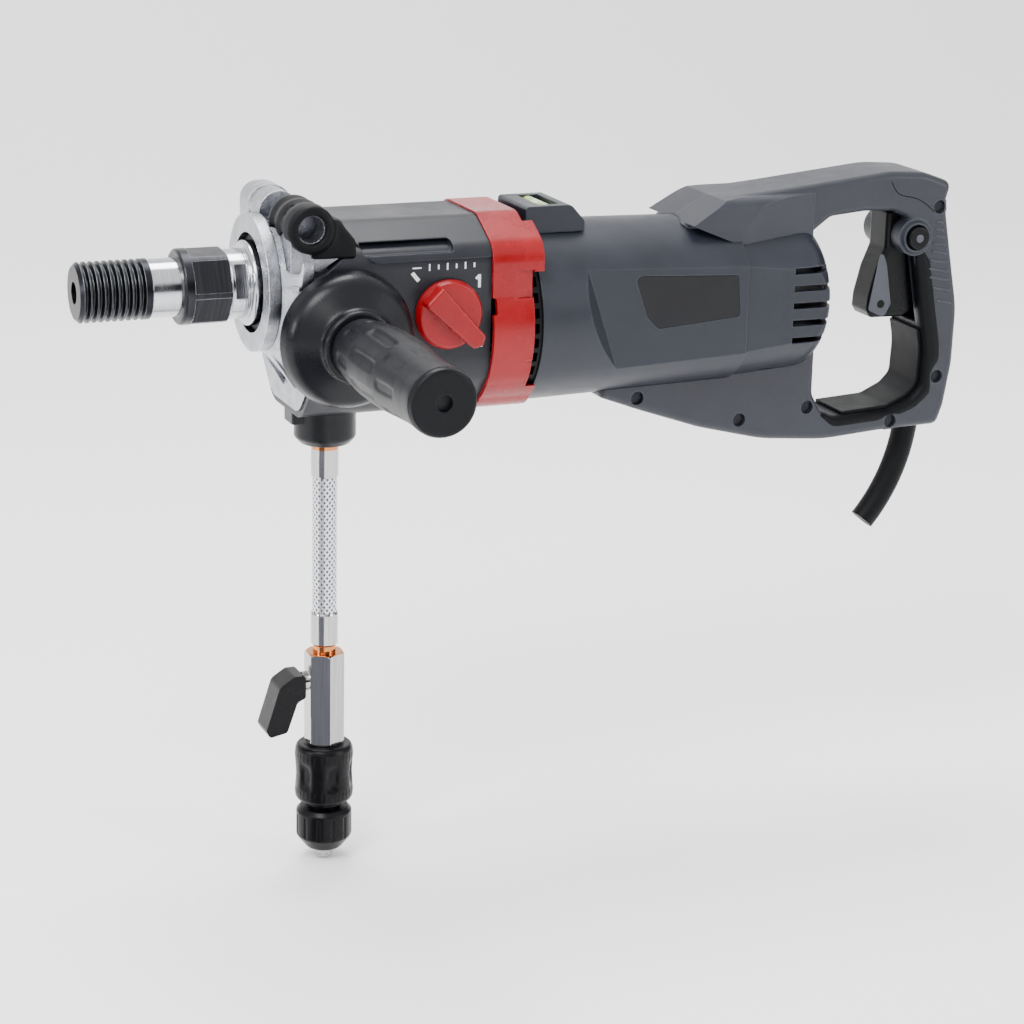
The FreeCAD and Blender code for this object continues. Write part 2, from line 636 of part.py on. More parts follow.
def gear_case():
    outer = prism_x(case_section(0), CASE_FRONT, CASE_REAR)
    inner = prism_x(case_section(-CASE_WALL), CASE_FRONT - 1, CASE_REAR + 1)
    hood = prism_x(case_section(HOOD_PROUD), CASE_FRONT + HOOD_FRONT, CASE_REAR)
    x0 = CASE_FRONT + HOOD_FRONT
    hood = hood.common(prism_y([
        (x0, 70), (x0, CASE_TOP - 4, 6), (x0 + 9, HOOD_LOW, 5), (CASE_REAR, HOOD_LOW), (CASE_REAR, 70),
    ], -70, 70))
    boss = rod_y(SELECTOR_SHAFT_R + 3.5, -CASE_HALF - 0.0, -CASE_HALF + 9, KNOB_X, KNOB_Z)
    body = fused(fused(outer, hood).cut(inner), boss.common(outer))
    groove_z = CASE_TOP - 7.5
    around = prism_x(case_section(9), x0, CASE_REAR).cut(prism_x(case_section(-1.6), x0 - 1, CASE_REAR + 1))
    groove = around.common(prism_y([
        (x0 + 5, groove_z - GROOVE_HEIGHT, 1), (x0 + 3, groove_z, 1),
        (CASE_REAR - 21, groove_z, 2), (CASE_REAR - 21, groove_z - GROOVE_HEIGHT, 2),
    ], -70, 70))
    ears = [prism_y([
        (EAR_X - EAR_R - 1, EAR_Z - 30), (EAR_X - EAR_R - 1, EAR_Z + 20),
        (EAR_X + 1.9 * EAR_R + 1, EAR_Z + 20), (EAR_X + 1.9 * EAR_R + 1, EAR_Z - 12),
        (EAR_X + 0.6 * EAR_R + 1, EAR_Z - 23),
    ], *sorted((side * (EAR_IN - 1), side * 60))) for side in (-1, 1)]
    cuts = [
        groove,
        rod_y(SELECTOR_SHAFT_R + SLIDE, -CASE_HALF - 9, 0, KNOB_X, KNOB_Z),
        rod_z(9.0 + JOIN, -CASE_BOTTOM - 9, -CASE_BOTTOM + 9, WATER_X),
        rod_y(HANDLE_THREAD_R + 1, -CASE_HALF - 9, -CASE_HALF + 9, SIDE_X, SIDE_Z),
        rod_y(EAR_R + JOIN, -EAR_IN, EAR_IN, EAR_X, EAR_Z),
    ]
    body = body.cut(Part.makeCompound(cuts + ears)).cut(cap_blank(JOIN))
    keep("gear_case", max(body.Solids, key=lambda s: s.Volume))


def plate_outline(x0, x1):
    return prism_x(case_section(-CASE_WALL - JOIN), x0, x1)


def gear_plate():
    """The inner plate that carries the rear ends of the spindle and the countershaft."""
    plate = plate_outline(PLATE_FRONT, PLATE_REAR)
    cuts = [
        rod_x(REAR_BEARING[1] + JOIN / 2, PLATE_FRONT - 1, PLATE_REAR + 1),
        rod_x(COUNTER_BEARING[1] + JOIN / 2, PLATE_FRONT - 1, PLATE_FRONT + COUNTER_BEARING[2],
              COUNTER_Y, COUNTER_Z),
        rod_x(COUNTER_BEARING[0] + 1, PLATE_FRONT, PLATE_REAR + 1, COUNTER_Y, COUNTER_Z),
        box(PLATE_FRONT - 1, PLATE_REAR + 1, -CASE_HALF + 8, FORK_ARM_Y + 7, KNOB_Z - 12, KNOB_Z + 16),
        rod_y(SELECTOR_SHAFT_R + 4, -CASE_HALF, -CASE_HALF + 12, KNOB_X, KNOB_Z),
        rod_x(RAIL_R + JOIN / 2, PLATE_FRONT - 1, PLATE_FRONT + 5, RAIL_Y, RAIL_Z),
    ]
    keep("gear_plate", plate.cut(Part.makeCompound(cuts)))


def motor_flange():
    """The flange between gearbox and motor, which seats the armature's front bearing."""
    x1 = FLANGE_X + ARMATURE_BEARING[2]
    inside = turned_x([(CASE_REAR - 5, 0), (CASE_REAR - 5, MOTOR_R - BAND_WALL - 3), (x1, 30), (x1, 0)], 0, MOTOR_Z)
    plate = inside.common(prism_x(case_section(-CASE_WALL - JOIN), CASE_REAR - 5, x1))
    room = rod_x(FIRST_MODULE * FIRST_TEETH[1] / 2 + 2, CASE_REAR - 6, FLANGE_X - 1.2, COUNTER_Y, COUNTER_Z)
    pinion = rod_x(7.5, CASE_REAR - 6, FLANGE_X + 1, 0, MOTOR_Z)
    seat = rod_x(ARMATURE_BEARING[1] + JOIN / 2, FLANGE_X, x1 + 1, 0, MOTOR_Z)
    keep("motor_flange", plate.cut(Part.makeCompound([room, pinion, seat])))


def band():
    """The red band between gearbox and motor, cut away at each side for the air outlet."""
    x0, x1 = CASE_REAR, BAND_REAR
    outer = prism_x(case_section(BAND_PROUD), x0, x1 + BAND_EAR)
    inner = prism_x(case_section(BAND_PROUD - BAND_WALL), x0 - 1, x1 + BAND_EAR + 1)
    round_part = rod_x(MOTOR_R + 2.0, x0, x1 + BAND_EAR, 0, MOTOR_Z)
    hollow = rod_x(MOTOR_R - 1.0, x0 - 1, x1 + BAND_EAR + 1, 0, MOTOR_Z)
    body = fused(outer, round_part.common(prism_x(case_section(6), x0, x1 + BAND_EAR)))
    body = body.cut(fused(inner, hollow))
    windows = []
    for side in (-1, 1):
        y0, y1 = sorted((side * 20, side * (CASE_HALF + 20)))
        windows.append(box(x1, x1 + BAND_EAR + 1, y0, y1, MOTOR_Z - 33, MOTOR_Z + 31))
        windows.append(prism_y([
            (x0 - 1, MOTOR_Z + 9), (x0 + 2, MOTOR_Z + 9, 1), (x0 + 2, MOTOR_Z + 18, 1), (x0 - 1, MOTOR_Z + 18),
        ], y0, y1))
    windows.append(prism_x([(-30, CASE_TOP - 4), (30, CASE_TOP - 4), (30, 80), (-30, 80)], x1, x1 + 9))
    for side in (-1, 1):
        y = side * (CASE_HALF + BAND_PROUD + 0.3)
        ends = []
        for z, start, deep in ((MOTOR_Z + 32, x0 + 9, 2.3), (MOTOR_Z - 27, x1 - 3, 0.7)):
            corners = [Vector(start, y, z), Vector(x1 + 0.5, y, z), Vector(x1 + 0.5, y - side * deep, z)]
            ends.append(Part.makePolygon(corners + corners[:1]))
        windows.append(Part.makeLoft(ends, True, True))
    keep("band", body.cut(Part.makeCompound(windows)))


def air_outlet():
    """The black louvre ring seen through the band's side windows."""
    x0 = BAND_REAR - 4
    ring = tube_x(MOTOR_R - 1.0 - JOIN, MOTOR_R - 4.5, x0, HOUSING_FRONT - JOIN, 0, MOTOR_Z)
    slots = []
    for z in range(-24, 25, 8):
        for y0, y1 in ((-60, -30), (30, 60)):
            slots.append(box(x0 + 5, HOUSING_FRONT - 2, y0, y1, MOTOR_Z + z - 2.6, MOTOR_Z + z + 2.6))
    keep("air_outlet", ring.cut(Part.makeCompound(slots)))


# ---------------------------------------------------------------- speed selector

def shift_fork():
    middle = (SLEEVE_FRONT + SLEEVE_BACK) / 2
    half = FORK_THICKNESS / 2
    plate = prism_x([
        (-7, 24, 2), (-24, 17, 5), (FORK_ARM_Y + 2, 2, 3), (FORK_ARM_Y + 1, -22, 3),
        (FORK_ARM_Y + 1, RAIL_Z - 6, 3), (RAIL_Y + 6.5, RAIL_Z - 6, 3), (-20, -27, 3), (-7, -25, 2),
    ], middle - half, middle + half)
    boss = rod_x(RAIL_R + 3, middle - 7, middle + 7, RAIL_Y, RAIL_Z)
    pin_x = KNOB_X + SHIFT_TRAVEL / 2
    slot = ECCENTRIC_PIN_R + 0.4
    low = PIN_THROW / math.sqrt(2)
    arm = box(middle - half, pin_x + slot + 3, FORK_ARM_Y, FORK_ARM_Y + 5,
              KNOB_Z + low - slot - 3, KNOB_Z + PIN_THROW + slot + 3)
    window = box(pin_x - slot, pin_x + slot, FORK_ARM_Y - 1, FORK_ARM_Y + 6,
                 KNOB_Z + low - slot, KNOB_Z + PIN_THROW + slot)
    body = fused(plate, boss, arm).cut(window)
    body = body.cut(rod_x(SLEEVE_R - GROOVE_DEPTH + SLIDE, middle - 9, middle + 4))
    keep("shift_fork", body.cut(rod_x(RAIL_R + RUNNING, middle - 9, middle + 9, RAIL_Y, RAIL_Z)))
    keep("fork_rail", rod_x(RAIL_R, CASE_FRONT + 3 + JOIN, PLATE_FRONT + 5 - JOIN, RAIL_Y, RAIL_Z))


def selector():
    face = -CASE_HALF
    pin_x = KNOB_X + SHIFT_TRAVEL / 2
    pin_z = KNOB_Z + PIN_THROW / math.sqrt(2)
    shaft = rod_y(SELECTOR_SHAFT_R, face - BODY_GAP - KNOB_BASE + 1, FORK_ARM_Y - 1.5, KNOB_X, KNOB_Z)
    disc = rod_y(SELECTOR_SHAFT_R + 4, FORK_ARM_Y - 3.5, FORK_ARM_Y - 1.5, KNOB_X, KNOB_Z)
    pin = rod_y(ECCENTRIC_PIN_R, FORK_ARM_Y - 2, FORK_ARM_Y + 4.5, pin_x, pin_z)
    keep("selector_shaft", fused(shaft, disc, pin))

    y_back = face - BODY_GAP
    knob = turned([
        (0, 0), (0, KNOB_R), (KNOB_BASE * 0.4, KNOB_R), (KNOB_BASE, KNOB_R - 1.6, 1.2), (KNOB_BASE, 0),
    ], (KNOB_X, y_back, KNOB_Z), (0, -1, 0), (0, 0, 1))
    half = KNOB_BAR_WIDTH / 2
    bar = prism_y([
        (-KNOB_R + 1.5, -half * 0.8, 2), (KNOB_R + 1.0, -half * 0.55, 2), (KNOB_R + 3.5, 0, 1.5),
        (KNOB_R + 1.0, half * 0.55, 2), (-KNOB_R + 1.5, half * 0.8, 2),
    ], -KNOB_BAR - 1.5, -1.0)
    bar = rounded(bar, 1.4, lambda e: max(v.Y for v in e.Vertexes) < -KNOB_BAR)
    bar.rotate(Vector(0, 0, 0), Vector(0, 1, 0), 45)
    bar.translate(Vector(KNOB_X, y_back, KNOB_Z))
    hole = rod_y(SELECTOR_SHAFT_R + JOIN / 2, face - BODY_GAP - KNOB_BASE + 1 - JOIN / 2, face, KNOB_X, KNOB_Z)
    keep("selector_knob", fused(knob, bar).cut(hole))


# ---------------------------------------------------------------- motor

STACK_FRONT = HOUSING_FRONT + 18.0
STACK_BACK = STACK_FRONT + STACK_LENGTH
COMMUTATOR_FRONT = STACK_BACK + 13.0
COMMUTATOR_BACK = COMMUTATOR_FRONT + 22.0
PINION_TIP_R = FIRST_MODULE * (FIRST_TEETH[0] / 2 + 0.7)


def armature():
    toward = math.atan2(COUNTER_Z - MOTOR_Z, COUNTER_Y)
    shaft_r = ARMATURE_BEARING[0] - RUNNING
    tail_r = TAIL_BEARING[0] - RUNNING
    profile = [
        (FIRST_BACK + 1, 0), (FIRST_BACK + 1, PINION_TIP_R - 0.9), (FLANGE_X, PINION_TIP_R - 0.9),
        (FLANGE_X, shaft_r), (STACK_FRONT - 8, shaft_r), (STACK_FRONT - 8, ARMATURE_R - 7, 4),
        (STACK_FRONT, ARMATURE_R - 3), (STACK_FRONT, ARMATURE_R), (STACK_BACK, ARMATURE_R),
        (STACK_BACK, ARMATURE_R - 3), (STACK_BACK + 9, ARMATURE_R - 8, 4), (STACK_BACK + 9, shaft_r + 4),
        (COMMUTATOR_FRONT, shaft_r + 4), (COMMUTATOR_FRONT, COMMUTATOR_R), (COMMUTATOR_BACK, COMMUTATOR_R),
        (COMMUTATOR_BACK, tail_r + 2), (TAIL_X - 1, tail_r + 2), (TAIL_X - 1, tail_r),
        (TAIL_X + TAIL_BEARING[2] - 0.5, tail_r), (TAIL_X + TAIL_BEARING[2] - 0.5, 0),
    ]
    pinion = gear(FIRST_TEETH[0], FIRST_MODULE, FIRST_FRONT - 0.5, FIRST_BACK + 1.2, 0, MOTOR_Z,
                  toward + math.pi / FIRST_TEETH[0], addendum=0.7)
    keep("armature", fused(turned_x(profile, 0, MOTOR_Z), pinion))


def fan():
    x0 = FLANGE_X + ARMATURE_BEARING[2] + 3.0
    x1 = STACK_FRONT - 10.0
    outer = MOTOR_R - 8.5
    hub = rod_x(14, x0, x1, 0, MOTOR_Z)
    disc = turned_x([(x1 - 2.5, 0), (x1 - 2.5, outer), (x1, outer), (x1, 0)], 0, MOTOR_Z)
    blade = box(x0 + 1.5, x1 - 1, -0.9, 0.9, MOTOR_Z + 12, MOTOR_Z + outer)
    wheel = fused(hub, disc, *around_x(blade, 12, 0, MOTOR_Z, first=8))
    keep("fan", wheel.cut(rod_x(ARMATURE_BEARING[0] - RUNNING, x0 - 1, x1 + 1, 0, MOTOR_Z)))


def housing_profile(grow):
    """The motor housing's half outline, tapering a little towards the rear."""
    return [
        (HOUSING_FRONT, 0), (HOUSING_FRONT, MOTOR_R + grow),
        (HOUSING_REAR, MOTOR_R * 0.945 + grow), (HOUSING_REAR, 0),
    ]


def side_cut(side, depth):
    """What a flat side panel takes off the round housing, with its leaning step in front."""
    z0, z1 = MOTOR_Z - MOTOR_R - 4, MOTOR_Z + MOTOR_R + 4
    x0 = HOUSING_FRONT + 24 + SLASH_LEAN * (MOTOR_R + 20)
    face = Part.Face(wire_of([
        (x0, side * 70), (x0, side * (depth + 9)), (x0 + 9, side * depth), (HOUSING_REAR + 1, side * depth),
        (HOUSING_REAR + 1, side * 70),
    ], lambda p: Vector(p.x, p.y, z0)))
    cut = face.extrude(Vector(-SLASH_LEAN * (z1 - z0), 0, z1 - z0))
    tail = box(HOUSING_REAR - 40, HOUSING_REAR + 1, *sorted((side * depth, side * 70)), z0, z1)
    return fused(cut, tail)


def motor_housing():
    shell = turned_x(housing_profile(0), 0, MOTOR_Z)
    room = turned_x(housing_profile(-MOTOR_WALL), 0, MOTOR_Z)
    room.translate(Vector(-0.01, 0, 0))
    room = fused(room, rod_x(MOTOR_R * 0.945 - MOTOR_WALL, HOUSING_REAR - 1, HOUSING_REAR + 1, 0, MOTOR_Z),
                 rod_x(MOTOR_R - MOTOR_WALL, HOUSING_FRONT - 1, HOUSING_FRONT + 1, 0, MOTOR_Z))
    inner_half = MOTOR_HALF - MOTOR_WALL
    room = room.common(box(HOUSING_FRONT - 2, HOUSING_REAR + 2, -inner_half, inner_half, -120, 60))
    room = fused(room, rod_x(MOTOR_R - MOTOR_WALL, HOUSING_FRONT - 1, HOUSING_FRONT + 10, 0, MOTOR_Z))
    shell = shell.cut(Part.makeCompound([side_cut(-1, MOTOR_HALF), side_cut(1, MOTOR_HALF)]))
    for side in (-1, 1):
        y0, y1 = sorted((side * (MOTOR_HALF - PLATE_DEPTH), side * 70))
        shell = shell.cut(prism_y(plate_points(JOIN), y0, y1))
    keep("motor_housing", shell.cut(room))


PLATE_DEPTH = 0.8


def plate_points(grow):
    """The rating plate's outline on the side panel, a lozenge leaning with the step in front of it."""
    x0 = HOUSING_REAR - 69.0
    top, low = MOTOR_Z + 23.0, MOTOR_Z - 7.0
    return [
        (x0 - grow, top + grow, 3), (HOUSING_REAR - 6.5 + grow, top - 3 + grow, 2),
        (HOUSING_REAR - 4.5 + grow, low + 4 - grow, 2), (x0 + 15 - grow, low - grow, 3), (x0 + 8 - grow, low + 7, 2),
    ]


def rating_plates():
    plates = []
    for side in (-1, 1):
        y0, y1 = sorted((side * (MOTOR_HALF - PLATE_DEPTH), side * (MOTOR_HALF - 0.15)))
        plates.append(prism_y(plate_points(0), y0, y1))
    keep("rating_plates", *plates)


def level_block():
    """The raised block on top of the motor housing, with the bubble level's vial in it."""
    x0, x1 = HOUSING_FRONT + 0.5, HOUSING_FRONT + 35
    top = CASE_TOP + 3
    body = prism_y([
        (x0, 8), (x0, top, 2), (x1 - 8, top, 4), (x1, top - 9, 3), (x1, 8),
    ], -20, 20)
    body = body.cut(rod_x(MOTOR_R + JOIN, x0 - 1, x1 + 1, 0, MOTOR_Z))
    vial_x = (x0 + x1) / 2 - 2
    pocket = box(vial_x - 6, vial_x + 6, -15, 15, top - 7, top + 1)
    keep("level_block", body.cut(pocket))
    vial = rod_y(4.6, -14.5, 14.5, vial_x, top - 5)
    keep("level_vial", vial.common(box(vial_x - 9, vial_x + 9, -16, 16, top - 7 + 0.0, top)))


def field():
    """The field stack with its two coils' end turns."""
    outer = MOTOR_R * 0.945 - MOTOR_WALL - JOIN
    half = MOTOR_HALF - MOTOR_WALL - JOIN
    stack = tube_x(outer, ARMATURE_R + 0.8, STACK_FRONT, STACK_BACK, 0, MOTOR_Z)
    ends = tube_x(outer - 5, ARMATURE_R + 3, STACK_FRONT - 7, STACK_BACK + 7, 0, MOTOR_Z)
    clip = box(STACK_FRONT - 20, STACK_BACK + 20, -half, half, -120, 60)
    keep("field", fused(stack, ends).common(clip))


def brush_gear():
    holders, brushes, springs = [], [], []
    x = (COMMUTATOR_FRONT + COMMUTATOR_BACK) / 2
    wall = MOTOR_HALF - MOTOR_WALL - JOIN
    for side in (-1, 1):
        def block(half_x, half_z, y_in, y_out):
            y0, y1 = sorted((side * y_in, side * y_out))
            return box(x - half_x, x + half_x, y0, y1, MOTOR_Z - half_z, MOTOR_Z + half_z)
        holders.append(block(7, 5.5, COMMUTATOR_R + 1.5, wall).cut(block(5, 3.5, 0, wall - 1.0)))
        brushes.append(block(4.95, 3.45, COMMUTATOR_R + 0.05, COMMUTATOR_R + 13))
        spring = coil(1.5, wall - 1.0 - 0.9 - COMMUTATOR_R - 13, 2.4, 0.35)
        spring.rotate(Vector(0, 0, 0), Vector(1, 0, 0), -90 * side)
        spring.translate(Vector(x, side * (COMMUTATOR_R + 13 + 0.42), MOTOR_Z))
        springs.append(spring)
    keep("brush_holders", *holders)
    keep("brushes", *brushes)
    keep("brush_springs", *springs)


COVER_R = MOTOR_R * 0.945 - COVER_STEP


def cover_solid(grow, x0=None):
    """The rear cover's outside, with flattened sides and a well rounded rear edge."""
    x0 = HOUSING_REAR if x0 is None else x0
    blank = turned_x([
        (x0, 0), (x0, COVER_R + grow), (COVER_REAR + grow, COVER_R - 3 + grow, 17 + grow), (COVER_REAR + grow, 0),
    ], 0, MOTOR_Z)
    half = MOTOR_HALF - COVER_STEP + grow
    return blank.common(box(x0, COVER_REAR + 9, -half, half, -120, 60))


def rear_cover():
    body = cover_solid(0).cut(cover_solid(-MOTOR_WALL, HOUSING_REAR - 1))
    bulkhead = cover_solid(-1).common(box(HOUSING_REAR + 1, TAIL_X + TAIL_BEARING[2] + 2, -60, 60, -120, 60))
    holes = around_x(rod_x(8, HOUSING_REAR, COVER_REAR - 20, 0, MOTOR_Z + 29), 6, 0, MOTOR_Z, first=30)
    bulkhead = bulkhead.cut(Part.makeCompound(holes + [
        rod_x(TAIL_BEARING[1] + JOIN / 2, HOUSING_REAR, TAIL_X + TAIL_BEARING[2], 0, MOTOR_Z)]))
    body = fused(body, bulkhead)
    slots = []
    for k in range(VENT_COUNT):
        z = MOTOR_Z + VENT_PITCH * (k - (VENT_COUNT - 1) / 2)
        for side in (-1, 1):
            y0, y1 = sorted((side * 28, side * 60))
            slots.append(box(COVER_REAR - 27, COVER_REAR + 1, y0, y1, z - VENT_HALF, z + VENT_HALF))
    keep("rear_cover", body.cut(Part.makeCompound(slots)))


# ---------------------------------------------------------------- rear handle

# Outlines in XZ, as offsets from the rear cover's end and the motor's axis, with corner radii
HANDLE_OUTLINE = [
    (-65, 58.5, 3), (-26, 62, 90), (13, 66, 90), (42, 69, 60), (64, 67.5, 30), (82, 61, 5),
    (79, 51, 8), (80, 42, 30), (84, 21, 60), (90.5, -12, 60), (90, -45, 50), (86, -70, 20),
    (82, -81, 5), (44, -82, 60), (8, -84.5, 90), (-32, -81, 90), (-72, -71, 90), (-107, -59, 60),
    (-134, -49, 3), (-134, -10), (-87, 20), (-87, 45.5),
]
OPENING_OUTLINE = [
    (-7, 24, 2), (-6, 37, 3), (5, 45, 8), (27, 47, 20), (46, 46, 8), (54, 42, 5), (60, 20, 30), (64, -1, 40),
    (71, -36, 40), (70, -57, 10), (63, -64, 8), (50, -70, 10), (14, -72, 10), (5, -67, 6), (-1, -57, 10),
    (-1, -20, 30),
]
TRIGGER_OUTLINE = [
    (46, 44, 2), (53, 48, 4), (62, 48, 4), (63, 38, 4), (60, 28, 8), (62, 10, 20), (66, -15, 5),
    (60, -17.5, 2), (39, -17, 2.5), (36.5, -13, 3), (37, -5, 20), (41, 11, 10), (46, 23, 5), (46, 31, 3),
]
PIVOT = (57.5, 43)
PIN_R = 2.5


def placed(points):
    return [(COVER_REAR + p[0], MOTOR_Z + p[1]) + tuple(p[2:]) for p in points]


def handle_blank(y0, y1, inset):
    """The D shape between two Y planes, drawn in by inset all round."""
    outer = Part.Face(wire_of(placed(HANDLE_OUTLINE), lambda p: Vector(p.x, y0, p.y)))
    opening = Part.Face(wire_of(placed(OPENING_OUTLINE), lambda p: Vector(p.x, y0, p.y)))
    if inset:
        outer = outer.makeOffset2D(-inset)
        opening = opening.makeOffset2D(inset)
    return outer.extrude(Vector(0, y1 - y0, 0)).cut(opening.extrude(Vector(0, y1 - y0, 0)))


def motor_body(grow):
    """Everything of the motor housing and its cover that the handle fits round."""
    housing = turned_x(housing_profile(grow), 0, MOTOR_Z)
    return fused(housing, cover_solid(grow, HOUSING_REAR - 1))


def saddle(side):
    """The cheek that widens the upper arm where it sits on the motor, narrowing to the arm's own width."""
    x0, x1 = COVER_REAR - 88, COVER_REAR - 7
    top, low = MOTOR_Z + 59.5, MOTOR_Z + 33
    section = [(0, top), (side * (SADDLE_HALF - 3), top, 7), (side * SADDLE_HALF, low + 9, 8),
               (side * SADDLE_HALF, low), (0, low)]
    flank = prism_y(placed([
        (-88, 47), (-54, 33, 4), (-7, 33), (-7, 70), (-88, 70),
    ]), -70, 70)
    plan = prism_z([
        (x0, 0), (x0, side * SADDLE_HALF), (x0 + 34, side * SADDLE_HALF, 40),
        (x1, side * (HANDLE_HALF + 0.5)), (x1, 0),
    ], MOTOR_Z, MOTOR_Z + 80)
    return prism_x(section, x0, x1).common(handle_blank(-70, 70, 0)).common(flank).common(plan)


def handle_half(side):
    y0, y1 = sorted((side * JOIN / 2, side * HANDLE_HALF))
    blank = handle_blank(y0, y1, 0)
    flat = side * HANDLE_HALF
    blank = rounded(blank, HANDLE_ROUND, lambda e: all(abs(v.Y - flat) < 1e-6 for v in e.Vertexes)
                    and e.BoundBox.YLength < 1e-6)
    w0, w1 = sorted((side * 0.0, side * (HANDLE_HALF - HANDLE_WALL)))
    room = handle_blank(w0, w1, HANDLE_WALL)
    cheek = saddle(side)
    half = fused(blank, cheek).cut(room)
    y_in, y_out = sorted((side * JOIN / 2, side * (HANDLE_HALF - 2)))
    bosses = [rod_y(HANDLE_SCREW_R + 2.2, y_in, y_out, COVER_REAR + x, MOTOR_Z + z)
              for x, z, far in HANDLE_SCREWS]
    return fused(half, *[b.common(handle_blank(y_in, y_out, 0)) for b in bosses])


# Each handle screw's place, and how far across it reaches
HANDLE_SCREWS = (
    (-24.5, 49, 13.5), (-48, -68, 13.5), (-5, -64, 13.5), (-112, -50.5, -9.0), (50, -76.5, 13.5),
    (79, -52, 13.5), (74, 47.5, 13.5),
)


def trigger_slot():
    """The room for the trigger through the inner side of the grip, swept by its whole travel."""
    points = [(42, 49), (50, 53), (67, 53), (76, 26), (78, -17.5), (76, -21), (60, -21), (52, 20)]
    return prism_y(placed(points), -TRIGGER_HALF - BODY_GAP, TRIGGER_HALF + BODY_GAP)


BUTTON = (59, 31)
BUTTON_R = 7.0
BUTTON_COLLAR_R = 9.2
BUTTON_TRAVEL = 3.0
GUARD_SLEEVE_R = 7.2
CORD_BORE_R = 4.2


def guard_path():
    """The cord guard's centre line, leaving the grip's foot and bending down and forward."""
    points = [(COVER_REAR + p[0], 0, MOTOR_Z + p[1]) for p in ((72.5, -71), (64.5, -112), (46.6, -141))]
    return Part.Wire([Part.Arc(*[Vector(*p) for p in points]).toShape()])


def pipe(path, radius):
    start = path.Edges[0].valueAt(path.Edges[0].FirstParameter)
    along = path.Edges[0].tangentAt(path.Edges[0].FirstParameter)
    ring = Part.Wire([Part.makeCircle(radius, start, along)])
    return path.makePipeShell([ring], True, True)


def handles():
    slot = trigger_slot()
    away = [motor_body(JOIN), slot, pipe(guard_path(), GUARD_SLEEVE_R + JOIN)]
    x, z = COVER_REAR + BUTTON[0], MOTOR_Z + BUTTON[1]
    for name, side in (("handle_left", -1), ("handle_right", 1)):
        y0, y1 = sorted((side * (TRIGGER_HALF + BODY_GAP + 0.2), side * (HANDLE_HALF + 0.6)))
        half = fused(handle_half(side), rod_y(BUTTON_COLLAR_R + 1.6, y0, y1, x, z))
        cuts = list(away)
        if side < 0:
            cuts.append(rod_y(BUTTON_COLLAR_R + JOIN / 2, -40, -TRIGGER_HALF - 2.5, x, z))
            cuts.append(rod_y(BUTTON_R + SLIDE, -40, -TRIGGER_HALF, x, z))
        px, pz = COVER_REAR + PIVOT[0], MOTOR_Z + PIVOT[1]
        cuts.append(rod_y(PIN_R + 0.02, -HANDLE_HALF + 1.4, HANDLE_HALF - 1.4, px, pz))
        for sx, sz, far in HANDLE_SCREWS:
            px, pz = COVER_REAR + sx, MOTOR_Z + sz
            cuts.append(rod_y(1.9, -HANDLE_HALF, far + 0.5, px, pz))
            if side < 0:
                cuts.append(rod_y(HANDLE_SCREW_R, -HANDLE_HALF - 1, -HANDLE_HALF + 5, px, pz))
        half = half.cut(Part.makeCompound(cuts[3:])).cut(cuts[0]).cut(cuts[1]).cut(cuts[2])
        biggest = max(half.Solids, key=lambda s: s.Volume)
        keep(name, biggest)
    screws = []
    for sx, sz, far in HANDLE_SCREWS:
        px, pz = COVER_REAR + sx, MOTOR_Z + sz
        head = rod_y(HANDLE_SCREW_R - 0.3, -HANDLE_HALF + 2.4, -HANDLE_HALF + 5, px, pz)
        screws.append(fused(head, rod_y(1.8, -HANDLE_HALF + 4, far, px, pz)))
    keep("handle_screws", *screws)


def grip_liner():
    """The soft strip along the inside of the grip and the foot of the opening."""
    half = HANDLE_HALF - 4.5
    edge = Part.Face(wire_of(placed(OPENING_OUTLINE), lambda p: Vector(p.x, -half, p.y)))
    inner = edge.makeOffset2D(-2.2)
    edge = edge.makeOffset2D(-0.05)
    strip = edge.extrude(Vector(0, 2 * half, 0)).cut(inner.extrude(Vector(0, 2 * half, 0)))
    x, z = COVER_REAR, MOTOR_Z
    window = box(x + 20, x + 90, -60, 60, z - 90, z - 24)
    keep("grip_liner", strip.common(window))


def trigger():
    body = prism_y(placed(TRIGGER_OUTLINE), -TRIGGER_HALF, TRIGGER_HALF)
    px, pz = COVER_REAR + PIVOT[0], MOTOR_Z + PIVOT[1]
    front = body.BoundBox.XMin + 13
    body = rounded(body, 2.5, lambda e: e.BoundBox.YLength < 1e-6 and e.BoundBox.XMax < front
                   and e.BoundBox.ZMax < MOTOR_Z + 26 + 1e-6)
    body = body.cut(rod_y(PIN_R + RUNNING, -30, 30, px, pz))
    body = body.cut(box(px - 6.5, px + 9, -4, 4, pz - 6, pz + 12))
    keep("trigger", body)

    keep("trigger_pin", rod_y(PIN_R, -HANDLE_HALF + 1.5, HANDLE_HALF - 1.5, px, pz))
    spring = coil(1.6, 5.6, 3.9, 0.55)
    spring.rotate(Vector(0, 0, 0), Vector(1, 0, 0), 90)
    spring.translate(Vector(px, 2.8, pz))
    keep("trigger_spring", spring)

    tab = prism_y(placed([(43, 24, 2), (36.5, -12, 2), (47, -17, 3), (51, -9, 2), (47, 14, 4)]),
                  -TRIGGER_HALF - 0.3, -TRIGGER_HALF)
    keep("trigger_side_plate", tab)
    x, z = COVER_REAR, MOTOR_Z
    keep("switch_module", box(x + 70.2, x + 75.5, -HANDLE_HALF + 4, HANDLE_HALF - 4, z + 12, z + 36))


